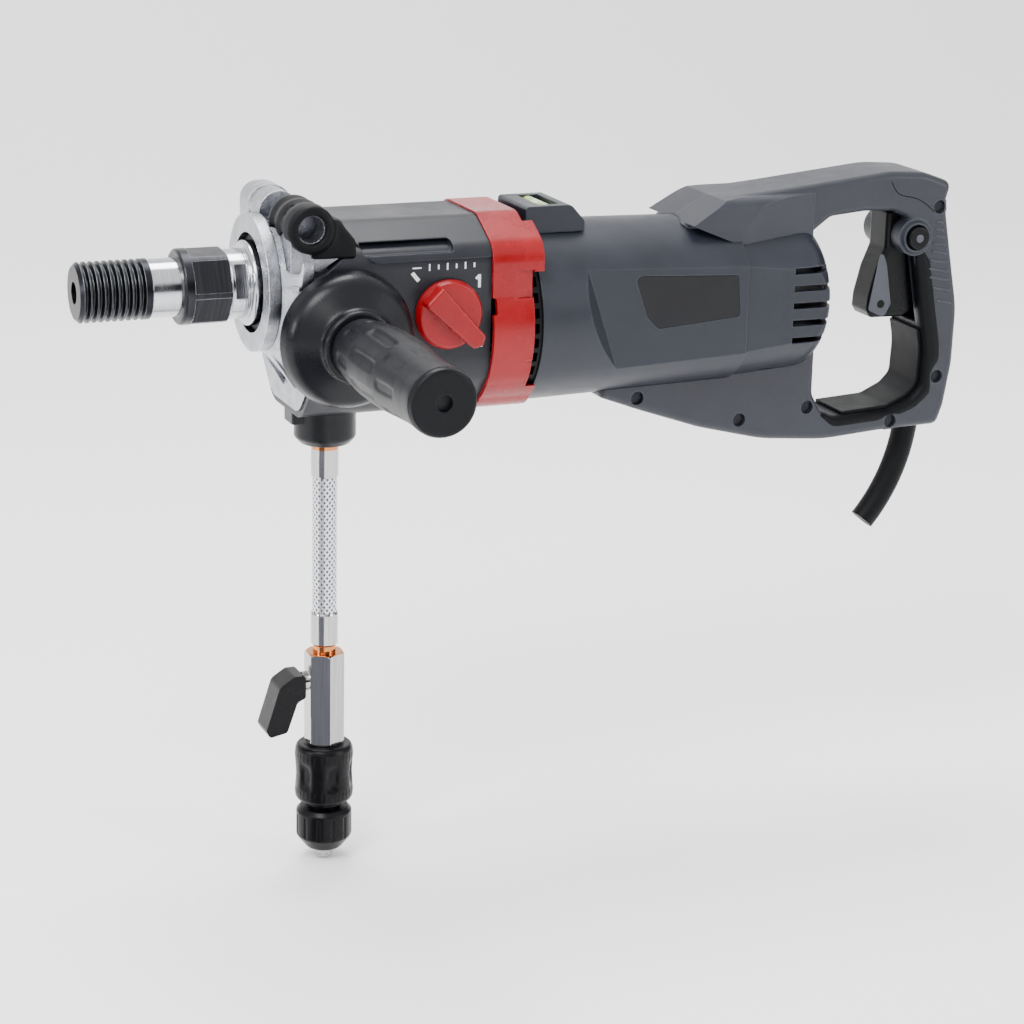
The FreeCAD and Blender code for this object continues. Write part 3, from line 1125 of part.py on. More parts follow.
def lock_button():
    x, z = COVER_REAR + BUTTON[0], MOTOR_Z + BUTTON[1]
    outer = -HANDLE_HALF - 0.6
    keep("lock_collar", turned([
        (-2.0, BUTTON_R + SLIDE), (-2.0, BUTTON_COLLAR_R - 0.8), (0, BUTTON_COLLAR_R),
        (6.5, BUTTON_COLLAR_R), (6.5, BUTTON_R + SLIDE),
    ], (x, outer, z), (0, 1, 0), (0, 0, 1)))
    keep("lock_button", turned([
        (-4.8, 0), (-4.8, BUTTON_R - 0.6, 0.8), (4.6, BUTTON_R, 0.3), (4.6, 0),
    ], (x, outer, z), (0, 1, 0), (0, 0, 1)))


def cord_guard():
    path = guard_path()
    sleeve = pipe(path, GUARD_SLEEVE_R)
    start = path.Edges[0].valueAt(path.Edges[0].FirstParameter)
    along = path.Edges[0].tangentAt(path.Edges[0].FirstParameter)
    collar = Part.makeCylinder(GUARD_SLEEVE_R + 1.6, 3.0, start, along)
    cord = pipe(path, CORD_BORE_R - 0.02)
    keep("cord_guard", fused(sleeve, collar).cut(pipe(path, CORD_BORE_R)), cord)


# ---------------------------------------------------------------- side handle

def side_handle():
    y_face = -CASE_HALF
    base = (SIDE_X, 0, SIDE_Z)
    axis, radial = (0, -1, 0), (0, 0, 1)
    stud_r = HANDLE_THREAD_R - 0.03
    keep("side_handle_stud", turned([
        (26, 0), (26, stud_r - 1), (27, stud_r), (CASE_HALF + 25, stud_r), (CASE_HALF + 25, 5.0),
        (CASE_HALF + GRIP_END - 20, 5.0), (CASE_HALF + GRIP_END - 20, 0),
    ], base, axis, radial))
    f = CASE_HALF + JOIN
    keep("side_handle_guard", turned([
        (f, HANDLE_THREAD_R + 0.02), (f, 15.0), (f + 3.0, 15.0), (f + 3.0, GUARD_R - 5),
        (f + 1.0, GUARD_R - 1.5, 0.8), (f + 3.5, GUARD_R, 2.5), (f + 12.5, GUARD_R - 2.5, 14),
        (f + 19.5, GUARD_R - 14.5, 6), (f + 21.0, 19.6, 4), (f + 26, 19.0, 2), (f + 26, HANDLE_THREAD_R + 0.02),
    ], base, axis, radial))
    tip = CASE_HALF + GRIP_END
    keep("side_handle_grip", turned([
        (f + 26.2, 5.05), (f + 26.2, GRIP_NECK_R, 2), (f + 38, GRIP_NECK_R + 1.5, 20),
        (f + 60, GRIP_BELLY_R, 60), (f + 88, GRIP_BELLY_R, 60), (tip - 20, GRIP_TIP_R - 0.6, 60),
        (tip - 3, GRIP_TIP_R, 2.5), (tip - 3, 5.05),
    ], base, axis, radial))
    keep("side_handle_cap", turned([
        (tip - 19.5, 0), (tip - 19.5, 4.9), (tip - 3 + JOIN, 4.9), (tip - 3 + JOIN, GRIP_TIP_R - 0.3),
        (tip, GRIP_TIP_R - 1.2, 1.5), (tip, 4.2), (tip - 9, 4.2), (tip - 9, 0),
    ], base, axis, radial))


# ---------------------------------------------------------------- water feed

def turned_z(points, x):
    """A solid of revolution about a vertical axis from (height, radius) points."""
    return turned(points, (x, 0, 0), (0, 0, 1), (1, 0, 0))


def water_boss():
    top = -CASE_BOTTOM - JOIN
    body = turned_z([
        (WATER_END_Z, 4.5), (WATER_END_Z, WATER_BOSS_R - 3.5, 3), (WATER_END_Z + 4, WATER_BOSS_R, 3),
        (top, WATER_BOSS_R), (top, 9.0), (top + CASE_WALL, 9.0), (top + CASE_WALL, 4.5),
    ], WATER_X)
    ledge = box(WATER_X - WATER_BOSS_R - 4, WATER_X, -8, 8, top - 7, top)
    ledge = rounded(ledge, 2.0, lambda e: e.BoundBox.XMax < WATER_X - WATER_BOSS_R - 3 and e.BoundBox.ZLength > 1)
    bore = rod_z(4.5, WATER_END_Z - 1, 0, WATER_X)
    keep("water_boss", fused(body, ledge).cut(bore))


def hose():
    top = WATER_END_Z
    bottom = HOSE_BOTTOM_Z
    bore = 4.3
    outer = HOSE_R + 0.03
    head = 3.0
    upper = turned_z([
        (top, bore), (top, FERRULE_R - 1), (top - 1, FERRULE_R), (top - FERRULE_LENGTH + 1, FERRULE_R),
        (top - FERRULE_LENGTH, FERRULE_R - 0.4), (top - FERRULE_LENGTH, outer), (top - head, outer),
        (top - head, bore),
    ], WATER_X)
    lower = turned_z([
        (bottom, bore), (bottom, FERRULE_R - 1), (bottom + 1, FERRULE_R), (bottom + FERRULE_LENGTH - 1, FERRULE_R),
        (bottom + FERRULE_LENGTH, FERRULE_R - 0.4), (bottom + FERRULE_LENGTH, outer), (bottom + head, outer),
        (bottom + head, bore),
    ], WATER_X)
    keep("hose_ferrules", upper, lower)
    keep("water_hose", turned_z([
        (top - head, bore), (top - head, HOSE_R), (bottom + head, HOSE_R), (bottom + head, bore),
    ], WATER_X))


VALVE_TOP_Z = HOSE_BOTTOM_Z - VALVE_THREAD
BALL_Z = VALVE_TOP_Z - 16.5
BALL_R = 7.4


def valve():
    corner = VALVE_ACROSS / math.sqrt(3)
    hexagon = [(WATER_X + corner * math.cos(math.radians(60 * k + 30)), corner * math.sin(math.radians(60 * k + 30)))
               for k in range(6)]
    body = prism_z(hexagon, VALVE_BOTTOM_Z, VALVE_TOP_Z)
    blank = turned_z([
        (VALVE_BOTTOM_Z, 0), (VALVE_BOTTOM_Z, corner - 1.4), (VALVE_BOTTOM_Z + 1.2, corner + 0.1),
        (VALVE_TOP_Z - 1.2, corner + 0.1), (VALVE_TOP_Z, corner - 1.4), (VALVE_TOP_Z, 0),
    ], WATER_X)
    thread = rod_z(FERRULE_R - 1.2, VALVE_TOP_Z, HOSE_BOTTOM_Z, WATER_X)
    nozzle = rod_z(8.0, VALVE_BOTTOM_Z - COUPLER_LENGTH * 0.45, VALVE_BOTTOM_Z, WATER_X)
    packing = rod_x(5.5, WATER_X - 13.0, WATER_X, 0, BALL_Z)
    body = fused(body.common(blank), thread, nozzle, packing)
    room = Part.makeSphere(BALL_R + SLIDE, Vector(WATER_X, 0, BALL_Z))
    way = rod_z(4.3, VALVE_BOTTOM_Z - COUPLER_LENGTH, HOSE_BOTTOM_Z + 1, WATER_X)
    stem_hole = rod_x(3.0 + RUNNING, WATER_X - 20, WATER_X, 0, BALL_Z)
    keep("valve_body", body.cut(Part.makeCompound([room, way, stem_hole])))
    ball = Part.makeSphere(BALL_R, Vector(WATER_X, 0, BALL_Z)).cut(
        rod_z(4.3, BALL_Z - 20, BALL_Z + 20, WATER_X))
    stem = rod_x(3.0, WATER_X - 19.5, WATER_X - BALL_R + 1.5, 0, BALL_Z)
    keep("valve_ball", fused(ball, stem))
    x = WATER_X
    lever = prism_y([
        (x - 13.3, BALL_Z + 6, 2), (x - 20, BALL_Z + 6, 3), (x - 28, BALL_Z + 1, 6), (x - 36, BALL_Z - 24, 2),
        (x - 34, BALL_Z - 28, 2), (x - 24, BALL_Z - 26, 2), (x - 18, BALL_Z - 9, 4), (x - 13.3, BALL_Z - 7, 2),
    ], -8.5, 8.5)
    lever = lever.cut(rod_x(3.03, x - 19.5, x, 0, BALL_Z))
    keep("valve_lever", lever)


def coupler():
    top = VALVE_BOTTOM_Z
    nut_top = top - COUPLER_LENGTH
    nut_end = nut_top - COUPLER_NUT_LENGTH
    core_r = 11.0
    keep("coupler_body", turned_z([
        (top - 0.5, 8.05), (top - 0.5, core_r), (nut_top + 2, core_r), (nut_top + 2, 9.0),
        (nut_end + 4, 9.0), (nut_end + 4, 4.75), (nut_end - 5, 4.75, 0.5), (nut_end - 5, 3.2),
        (nut_top + 18, 3.2), (nut_top + 18, 8.05),
    ], WATER_X))
    low = nut_top + 4.6
    keep("coupler_sleeve", turned_z([
        (top - 0.3, core_r + RUNNING), (top - 0.3, COUPLER_R - 1.5, 1.5), (top - 7, COUPLER_R, 3),
        (top - 16, COUPLER_R - 0.9, 10), (low + 7, COUPLER_R, 4), (low, COUPLER_R - 1.2, 1.5),
        (low, core_r + RUNNING),
    ], WATER_X))
    body = turned_z([
        (nut_top, 9.02), (nut_top, COUPLER_R - 3, 1), (nut_top - 2.5, COUPLER_R - 0.8, 1.5),
        (nut_end + 8, COUPLER_R - 0.8, 3), (nut_end, COUPLER_R - 7, 6), (nut_end, 4.8), (nut_end + 3.9, 4.8),
        (nut_end + 3.9, 9.02),
    ], WATER_X)
    flutes = []
    for k in range(12):
        a = math.radians(30 * k)
        r = COUPLER_R + 1.0
        flutes.append(rod_z(2.2, nut_end - 1, nut_top - 4, WATER_X + r * math.cos(a), r * math.sin(a)))
    keep("coupler_nut", body.cut(Part.makeCompound(flutes)))


def cover_screws():
    """The four screws down the rear cover, with their bosses and holes added to the cover."""
    screws, bosses, holes = [], [], []
    for side in (-1, 1):
        for rise in (-1, 1):
            y, z = side * 17.0, MOTOR_Z + rise * 17.0
            head = rod_x(3.6, COVER_REAR - 2.6, COVER_REAR - 0.4, y, z)
            screws.append(fused(head, rod_x(2.0, TAIL_X + 8, COVER_REAR - 2, y, z)))
            bosses.append(rod_x(5.5, TAIL_X + TAIL_BEARING[2], COVER_REAR - 1, y, z))
            holes.append(fused(rod_x(3.8, COVER_REAR - 2.6, COVER_REAR + 1, y, z),
                               rod_x(2.1, TAIL_X + 7.8, COVER_REAR, y, z)))
    keep("cover_screws", *screws)
    keep("rear_cover", fused(made["rear_cover"], *bosses).cut(Part.makeCompound(holes)))


# ---------------------------------------------------------------- build and export

for build in (
    spindle, spindle_hex, spindle_gears, shift_sleeve, countershaft, bearings, seals, nose_housing,
    boss_cap, gear_case, gear_plate, motor_flange, band, air_outlet, shift_fork, selector, armature,
    fan, motor_housing, rating_plates, level_block, field, brush_gear, rear_cover, handles,
    grip_liner, trigger, lock_button, cord_guard, side_handle, water_boss, hose, valve, coupler,
    cover_screws,
):
    build()

os.makedirs("parts", exist_ok=True)
for name, shape in made.items():
    if not shape.isValid() or shape.Volume <= 0:
        raise ValueError(name + " is not a valid solid")
    shape.exportStep("parts/" + name + ".step")
    print(name, len(shape.Solids), round(shape.Volume))
print(len(made), "nodes")
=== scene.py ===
import math

import bpy
from mathutils import Matrix, Vector


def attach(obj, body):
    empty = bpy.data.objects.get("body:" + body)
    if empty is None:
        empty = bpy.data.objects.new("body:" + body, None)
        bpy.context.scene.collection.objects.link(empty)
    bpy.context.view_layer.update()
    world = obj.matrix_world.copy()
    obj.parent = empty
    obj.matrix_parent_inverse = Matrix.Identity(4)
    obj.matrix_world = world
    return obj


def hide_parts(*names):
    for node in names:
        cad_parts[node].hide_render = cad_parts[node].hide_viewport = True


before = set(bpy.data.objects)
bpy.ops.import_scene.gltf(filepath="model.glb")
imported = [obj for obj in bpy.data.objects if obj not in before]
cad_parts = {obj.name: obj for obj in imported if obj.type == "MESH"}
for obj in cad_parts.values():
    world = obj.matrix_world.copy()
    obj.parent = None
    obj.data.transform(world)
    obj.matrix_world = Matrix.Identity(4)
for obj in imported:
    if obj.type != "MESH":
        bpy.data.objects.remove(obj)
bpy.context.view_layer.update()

# ---------------------------------------------------------------- camera
# A long lens from the operator's left, a little in front and above, so the
# side handle points towards the viewer. It is turned about a degree clockwise.

EYE = (-0.4241, -1.3756, 0.3049)
LENS_MM, SENSOR_MM = 98.0, 36.0
EYE_TURN, EYE_DOWN, EYE_ROLL = -22.75, 16.6, 1.3        # in degrees
SIGHT_RANGE = 20.0


def placed(name, data):
    """A new object, put in the scene."""
    made = bpy.data.objects.new(name, data)
    bpy.context.scene.collection.objects.link(made)
    return made


camera = placed("camera", bpy.data.cameras.new("camera"))
camera.data.sensor_width = SENSOR_MM
camera.data.lens = LENS_MM
camera.data.clip_end = SIGHT_RANGE
camera.matrix_world = (
    Matrix.Translation(EYE)
    @ Matrix.Rotation(math.radians(EYE_TURN), 4, "Z")
    @ Matrix.Rotation(math.radians(90.0 - EYE_DOWN), 4, "X")
    @ Matrix.Rotation(math.radians(EYE_ROLL), 4, "Z"))
bpy.context.scene.camera = camera

# ---------------------------------------------------------------- water hose
# A short hose of clear PVC over a braid of bright steel wire, crimped at both
# ends. It hangs straight because it carries the valve and the coupler.

HOSE_TOP, HOSE_BOTTOM = -0.093, -0.202
HOSE_X = 0.0425
HOSE_RADIUS = 0.0068
BRAID_STRANDS = 14          # wires each way round
BRAID_PITCH_MM = 52.0       # one wire's turn
BRAID_RELIEF = 0.0005       # how far a wire stands out


def linear(hex_colour):
    """An sRGB hex colour as linear RGBA."""
    parts = [int(hex_colour[i:i + 2], 16) / 255 for i in (1, 3, 5)]
    light = [c / 12.92 if c <= 0.04045 else ((c + 0.055) / 1.055) ** 2.4 for c in parts]
    return (*light, 1.0)


def add(tree, kind, *links, **settings):
    """Adds a shader node with its settings; each link or value is (socket, what goes in)."""
    node = tree.nodes.new("ShaderNode" + kind)
    for name, value in settings.items():
        setattr(node, name, value)
    for socket, value in links:
        if isinstance(value, bpy.types.NodeSocket):
            tree.links.new(value, node.inputs[socket])
        else:
            node.inputs[socket].default_value = value
    return node


def surface(name, **sockets):
    """A new material, its tree and its shader, with the shader's own sockets set."""
    made = bpy.data.materials.new(name)
    made.use_nodes = True
    shader = made.node_tree.nodes["Principled BSDF"]
    for socket, value in sockets.items():
        shader.inputs[socket.replace("_", " ")].default_value = value
    return made, made.node_tree, shader


def braided_hose():
    """Bright wire under clear PVC: wires crossing in diamonds, dark between, and a gloss coat."""
    made, tree, shader = surface("steel_braid_under_clear_pvc", Metallic=0.85, Coat_Weight=1.0,
                                 Coat_Roughness=0.06, Coat_IOR=1.53)
    spot = add(tree, "SeparateXYZ", (0, add(tree, "TexCoord").outputs["Object"]))
    across = add(tree, "Math", (0, spot.outputs["X"]), (1, HOSE_X), operation="SUBTRACT")
    turn = add(tree, "Math", (0, spot.outputs["Y"]), (1, across.outputs[0]),
               operation="ARCTAN2")
    wires = []
    for way in (-1.0, 1.0):
        twist = way * BRAID_STRANDS * 2 * math.pi * 1000 / BRAID_PITCH_MM
        climb = add(tree, "Math", (0, spot.outputs["Z"]), (1, twist), operation="MULTIPLY")
        phase = add(tree, "Math", (0, turn.outputs[0]), (1, float(BRAID_STRANDS)),
                    (2, climb.outputs[0]), operation="MULTIPLY_ADD")
        wave = add(tree, "Math", (0, phase.outputs[0]), operation="SINE")
        wire = add(tree, "MapRange", (0, wave.outputs[0]), (1, -0.35), (2, 0.6))
        wires.append(wire.outputs[0])
    over = add(tree, "Math", (0, wires[0]), (1, wires[1]), operation="MAXIMUM")
    tone = add(tree, "ValToRGB", (0, over.outputs[0]))
    tone.color_ramp.elements[0].color = linear("#4a4c54")
    tone.color_ramp.elements[1].color = linear("#d4d6dc")
    tree.links.new(tone.outputs["Color"], shader.inputs["Base Color"])
    gloss = add(tree, "MapRange", (0, over.outputs[0]), (3, 0.6), (4, 0.24))
    tree.links.new(gloss.outputs[0], shader.inputs["Roughness"])
    relief = add(tree, "Bump", ("Height", over.outputs[0]), ("Distance", BRAID_RELIEF),
                 ("Strength", 0.9))
    tree.links.new(relief.outputs["Normal"], shader.inputs["Normal"])
    return made


hose_heights = (HOSE_TOP, -0.12, -0.1475, -0.175, HOSE_BOTTOM)
hose_points = [(HOSE_X, 0.0, height) for height in hose_heights]
hose_curve = bpy.data.curves.new("braided_hose", "CURVE")
hose_curve.dimensions = "3D"
line = hose_curve.splines.new("NURBS")
line.points.add(len(hose_points) - 1)
for point, at in zip(line.points, hose_points):
    point.co = (*at, 1.0)
line.order_u = 3
line.use_endpoint_u = True
hose_curve.bevel_depth = HOSE_RADIUS
hose_curve.bevel_resolution = 12
hose_curve.use_fill_caps = True
hose = placed("braided_hose", hose_curve)
hose_curve.materials.append(braided_hose())
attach(hose, "machine")
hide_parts("water_hose")

# ---------------------------------------------------------------- nose housing
# The gearbox's front is one aluminium die casting: ribs run out from a turned
# ring, and two ears carry the M14 holes. Cast skin is dull, turned faces bright.


def where(tree):
    """The piece's own coordinates, in millimetres."""
    spot = add(tree, "TexCoord")
    in_mm = add(tree, "VectorMath", (0, spot.outputs["Object"]), ("Scale", 1000.0),
                operation="SCALE")
    return in_mm.outputs[0]


def rubbed_edges(tree, radius_mm):
    """How much of an edge this is, from 0 to 1, and the normal with that edge broken."""
    soft = add(tree, "Bevel", ("Radius", radius_mm / 1000), samples=4)
    flat = add(tree, "NewGeometry")
    bend = add(tree, "VectorMath", (0, soft.outputs[0]), (1, flat.outputs["Normal"]),
               operation="DOT_PRODUCT")
    edge = add(tree, "MapRange", (0, bend.outputs["Value"]), (1, 0.995), (2, 0.86))
    return edge.outputs[0], soft.outputs[0]


def two_tone(tree, amount, dull, bright):
    """Between two hex colours by an amount from 0 to 1."""
    tone = add(tree, "Mix", (0, amount), (6, linear(dull)), (7, linear(bright)),
               data_type="RGBA")
    return tone.outputs[2]


def dress(finish, *nodes):
    """Gives CAD nodes their finish."""
    for name in nodes:
        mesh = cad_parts[name].data
        mesh.materials.clear()
        mesh.materials.append(finish)
        mesh.polygons.foreach_set("material_index", [0] * len(mesh.polygons))


def cast_aluminium():
    """Die-cast, shot-blasted aluminium: a pale dull skin with fine pits and bright edges, and
    painted shade in its corners.
    """
    made, tree, shader = surface("shot_blasted_die_cast_aluminium", Metallic=1.0)
    at = where(tree)
    edge, normal = rubbed_edges(tree, 0.7)
    cloud = add(tree, "TexNoise", ("Vector", at), ("Scale", 0.12), ("Detail", 5.0))
    skin = add(tree, "MapRange", (0, cloud.outputs[0]), (1, 0.3), (2, 0.7))
    base = two_tone(tree, skin.outputs[0], "#8d8f97", "#b9bbc2")
    worn = add(tree, "Mix", (0, edge), (6, base), (7, linear("#eceef2")), data_type="RGBA")
    # Painted shade: ambient occlusion darkens the base colour towards #3f4046 in the corners
    # between the ribs.
    corner = add(tree, "AmbientOcclusion", ("Distance", 0.009), samples=6)
    outside_painted_shade = add(tree, "MapRange", (0, corner.outputs["AO"]), (1, 0.35), (2, 0.9))
    tone = add(tree, "Mix", (0, outside_painted_shade.outputs[0]), (6, linear("#3f4046")), (7, worn.outputs[2]),
               data_type="RGBA")
    tree.links.new(tone.outputs[2], shader.inputs["Base Color"])
    gloss = add(tree, "MapRange", (0, cloud.outputs[0]), (1, 0.3), (2, 0.7),
                (3, 0.20), (4, 0.32))
    tree.links.new(gloss.outputs[0], shader.inputs["Roughness"])
    pits = add(tree, "TexNoise", ("Vector", at), ("Scale", 2.2), ("Detail", 3.0))
    relief = add(tree, "Bump", ("Height", pits.outputs[0]), ("Distance", 0.00018),
                 ("Normal", normal))
    tree.links.new(relief.outputs["Normal"], shader.inputs["Normal"])
    return made


casting = cast_aluminium()
dress(casting, "nose_housing", "gear_plate", "motor_flange")

# ---------------------------------------------------------------- spindle
# Case-hardened steel, ground bright on its journal and flange. The coarse
# thread is black from its oxide bath, and its crests are rubbed by core bits.

THREAD_REAR = -55.0         # in millimetres along the spindle


def turned_steel(name, dull, bright, gloss_low, gloss_high, line_mm):
    """Turned or ground steel: fine rings round the X axis, with light and dark bands."""
    made, tree, shader = surface(name, Metallic=1.0)
    edge, normal = rubbed_edges(tree, 0.5)
    at = where(tree)
    # Tool marks are lines across X only, so the noise hardly changes round the piece.
    squeeze = (1.0 / line_mm, 0.02, 0.02)
    rings = add(tree, "VectorMath", (0, at), (1, squeeze), operation="MULTIPLY")
    marks = add(tree, "TexNoise", ("Vector", rings.outputs[0]), ("Scale", 1.0), ("Detail", 2.0))
    haze = add(tree, "TexNoise", ("Vector", at), ("Scale", 0.08), ("Detail", 3.0))
    base = two_tone(tree, marks.outputs[0], dull, bright)
    tone = add(tree, "Mix", (0, edge), (6, base), (7, linear("#e6e7ea")), data_type="RGBA")
    gloss = add(tree, "MapRange", (0, haze.outputs[0]), (1, 0.3), (2, 0.7),
                (3, gloss_low), (4, gloss_high))
    relief = add(tree, "Bump", ("Height", marks.outputs[0]), ("Distance", 0.00006),
                 ("Normal", normal))
    tree.links.new(tone.outputs[2], shader.inputs["Base Color"])
    tree.links.new(gloss.outputs[0], shader.inputs["Roughness"])
    tree.links.new(relief.outputs["Normal"], shader.inputs["Normal"])
    return made, tree, shader, tone.outputs[2], gloss.outputs[0], edge


def spindle_steel():
    """Ground steel, with the thread in front of its shoulder blackened and oily."""
    made, tree, shader, tone, gloss, edge = turned_steel(
        "ground_steel_with_blacked_thread", "#9a9ca2", "#d9dade",
        gloss_low=0.12, gloss_high=0.24, line_mm=0.6)
    along = add(tree, "SeparateXYZ", (0, where(tree))).outputs["X"]
    black = add(tree, "MapRange", (0, along), (1, THREAD_REAR), (2, THREAD_REAR - 0.3))
    crest = two_tone(tree, edge, "#26272b", "#8b8d92")
    both = add(tree, "Mix", (0, black.outputs[0]), (6, tone), (7, crest), data_type="RGBA")
    rough = add(tree, "Mix", (0, black.outputs[0]), (2, gloss), (3, 0.34))
    tree.links.new(both.outputs[2], shader.inputs["Base Color"])
    tree.links.new(rough.outputs[0], shader.inputs["Roughness"])
    return made


dress(spindle_steel(), "spindle")
blacked = turned_steel(
    "black_oxide_steel", "#1d1e21", "#3c3d41",
    gloss_low=0.28, gloss_high=0.42, line_mm=0.8)[0]
dress(blacked, "spindle_hex_collar")

# ---------------------------------------------------------------- seals
# Nitrile rubber rings: a dirt seal in the nose's mouth and two lip seals that
# close the water chamber. They are moulded matt and shine a little with grease.


def moulded(name, colour, scuffed, roughness, grain_mm, depth_mm, edge_mm=0.8, specular=0.45):
    """A moulded plastic or rubber: a spark-eroded grain, handled patches, pale rubbed edges."""
    made, tree, shader = surface(name, IOR=1.5, Specular_IOR_Level=specular)
    at = where(tree)
    edge, normal = rubbed_edges(tree, edge_mm)
    patches = add(tree, "TexNoise", ("Vector", at), ("Scale", 0.035), ("Detail", 4.0),
                  ("Roughness", 0.6))
    grain = add(tree, "TexNoise", ("Vector", at), ("Scale", 1.0 / grain_mm), ("Detail", 2.0))
    shade = add(tree, "MapRange", (0, patches.outputs[0]), (1, 0.3), (2, 0.7),
                (3, 0.85), (4, 1.15))
    fleck = add(tree, "MapRange", (0, grain.outputs[0]), (1, 0.3), (2, 0.7), (3, 0.9), (4, 1.1))
    both = add(tree, "Math", (0, shade.outputs[0]), (1, fleck.outputs[0]), operation="MULTIPLY")
    toned = add(tree, "VectorMath", (0, two_tone(tree, edge, colour, scuffed)),
                ("Scale", both.outputs[0]), operation="SCALE")
    gloss = add(tree, "MapRange", (0, patches.outputs[0]), (1, 0.3), (2, 0.7),
                (3, roughness - 0.05), (4, roughness + 0.07))
    relief = add(tree, "Bump", ("Height", grain.outputs[0]), ("Distance", depth_mm / 1000),
                 ("Normal", normal))
    tree.links.new(toned.outputs[0], shader.inputs["Base Color"])
    tree.links.new(gloss.outputs[0], shader.inputs["Roughness"])
    tree.links.new(relief.outputs["Normal"], shader.inputs["Normal"])
    return made


nitrile = moulded(
    "moulded_nitrile_rubber", "#17171a", "#2a2a2e",
    roughness=0.5, grain_mm=0.5, depth_mm=0.05)
dress(nitrile, "spindle_dirt_seal", "water_seals")

# ---------------------------------------------------------------- gears, shafts and bearings
# Hobbed and case-hardened steel gears, ground shafts, and closed ball bearings
# with ground races. All run in grease, so they are darker than the spindle.

hobbed = turned_steel(
    "hobbed_case_hardened_steel", "#5d5f64", "#8b8d92",
    gloss_low=0.25, gloss_high=0.4, line_mm=0.5)[0]
dress(hobbed, "low_gear", "high_gear", "shift_sleeve", "shift_fork", "countershaft",
      "reduction_gear", "selector_shaft")
ground = turned_steel(
    "centreless_ground_steel", "#a3a5aa", "#d2d3d7",
    gloss_low=0.14, gloss_high=0.26, line_mm=0.4)[0]
dress(ground, "fork_rail", "trigger_pin")
race = turned_steel(
    "ground_bearing_race", "#7f8186", "#bfc1c6",
    gloss_low=0.16, gloss_high=0.3, line_mm=0.7)[0]
dress(race, "spindle_bearings", "countershaft_bearings", "armature_bearings")

# ---------------------------------------------------------------- gear case
# A glass-filled nylon shell over the gears. Its spark-eroded mould gives a
# satin grey with a slight blue cast, and the corners wear lighter.

gear_nylon = moulded(
    "spark_eroded_glass_filled_nylon", "#14161d", "#2f323b",
    roughness=0.38, grain_mm=0.55, depth_mm=0.05, edge_mm=1.0, specular=0.32)
dress(gear_nylon, "gear_case")

# ---------------------------------------------------------------- ear cap
# A soft moulded rubber boot over the near ear, lumpy where it grips the
# casting, with the threaded hole left open.

boot = moulded(
    "matt_moulded_rubber", "#07080b", "#121317",
    roughness=0.44, grain_mm=0.7, depth_mm=0.08, edge_mm=1.2, specular=0.14)


def softened(name, node, finish, body, voxel_mm, passes):
    """A copy of a CAD node with its corners melted round, as a soft moulding has them."""
    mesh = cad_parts[node].data.copy()
    piece = placed(name, mesh)
    melt = piece.modifiers.new("melt", "REMESH")
    melt.mode = "VOXEL"
    melt.voxel_size = voxel_mm / 1000
    relax = piece.modifiers.new("relax", "SMOOTH")
    relax.factor = 0.5
    relax.iterations = passes
    settled = piece.evaluated_get(bpy.context.evaluated_depsgraph_get())
    whole = bpy.data.meshes.new_from_object(settled)
    piece.modifiers.clear()
    piece.data = whole
    whole.materials.clear()
    whole.materials.append(finish)
    whole.polygons.foreach_set("use_smooth", [True] * len(whole.polygons))
    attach(piece, body)
    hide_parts(node)
    return piece


ear_boot = softened("ear_boot", "ear_cap", boot, "machine", voxel_mm=0.7, passes=14)

# ---------------------------------------------------------------- band
# The red ring between gearbox and motor, moulded in gloss ABS and pinched
# between the two housings. Black louvres behind it let the cooling air out.

red_abs = moulded(
    "gloss_moulded_red_abs", "#80070f", "#9e111b",
    roughness=0.26, grain_mm=0.6, depth_mm=0.03, edge_mm=0.7, specular=0.32)
dress(red_abs, "band")
louvre_nylon = moulded(
    "black_nylon", "#050506", "#0e0f11",
    roughness=0.45, grain_mm=0.5, depth_mm=0.05, edge_mm=0.8, specular=0.14)
dress(louvre_nylon, "air_outlet", "fan")

# ---------------------------------------------------------------- speed selector
# A red ABS knob pressed on the shift shaft. The numbers, the index mark and the
# row of ticks are pad-printed in white on the case beside it.

PRINT_Y, INK_THICKNESS = -0.0461, 0.00009
TICK_START, TICK_PITCH, TICK_COUNT = 84, 5.0, 6     # these and the rest in millimetres
TICK_Z, TICK_WIDTH = 12.2, 0.8
SHORT_TICK, LONG_TICK = 2.4, 3.6

dress(red_abs, "selector_knob")


def pad_print():
    """White pad-printing ink: thin, flat, and slightly broken over the grain."""
    made, tree, shader = surface("white_pad_printing_ink", Roughness=0.5)
    grain = add(tree, "TexNoise", ("Vector", where(tree)), ("Scale", 3.0), ("Detail", 2.0))
    tone = two_tone(tree, grain.outputs[0], "#b9bcc2", "#eef0f4")
    tree.links.new(tone, shader.inputs["Base Color"])
    return made


ink = pad_print()


def printed(name, outlines):
    """Thin printed marks on the case's side, each an outline of (x, z) in millimetres."""
    verts, faces = [], []
    for outline in outlines:
        first, n = len(verts), len(outline)
        for y in (PRINT_Y, PRINT_Y + INK_THICKNESS):
            verts += [(x / 1000, y, z / 1000) for x, z in outline]
        faces.append([first + i for i in range(n)])
        faces.append([first + n + i for i in reversed(range(n))])
        faces += [[first + i, first + n + i, first + n + (i + 1) % n, first + (i + 1) % n]
                  for i in range(n)]
    mesh = bpy.data.meshes.new(name)
    mesh.from_pydata(verts, [], faces)
    mesh.materials.append(ink)
    piece = placed(name, mesh)
    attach(piece, "machine")
    return piece


def bar(x, z, width, height):
    """The outline of a printed bar round its middle."""
    return [(x - width / 2, z - height / 2), (x + width / 2, z - height / 2),
            (x + width / 2, z + height / 2), (x - width / 2, z + height / 2)]


ticks = [bar(TICK_START + TICK_PITCH * k, TICK_Z, TICK_WIDTH, SHORT_TICK if k % 2 else LONG_TICK)
         for k in range(TICK_COUNT)]
index = [(73.6, 9.2), (75.2, 10.4), (78.8, 6.0), (77.2, 4.8)]
printed("scale_ticks", ticks + [bar(77, TICK_Z, 5.0, 0.7)])
printed("index_mark", [index])
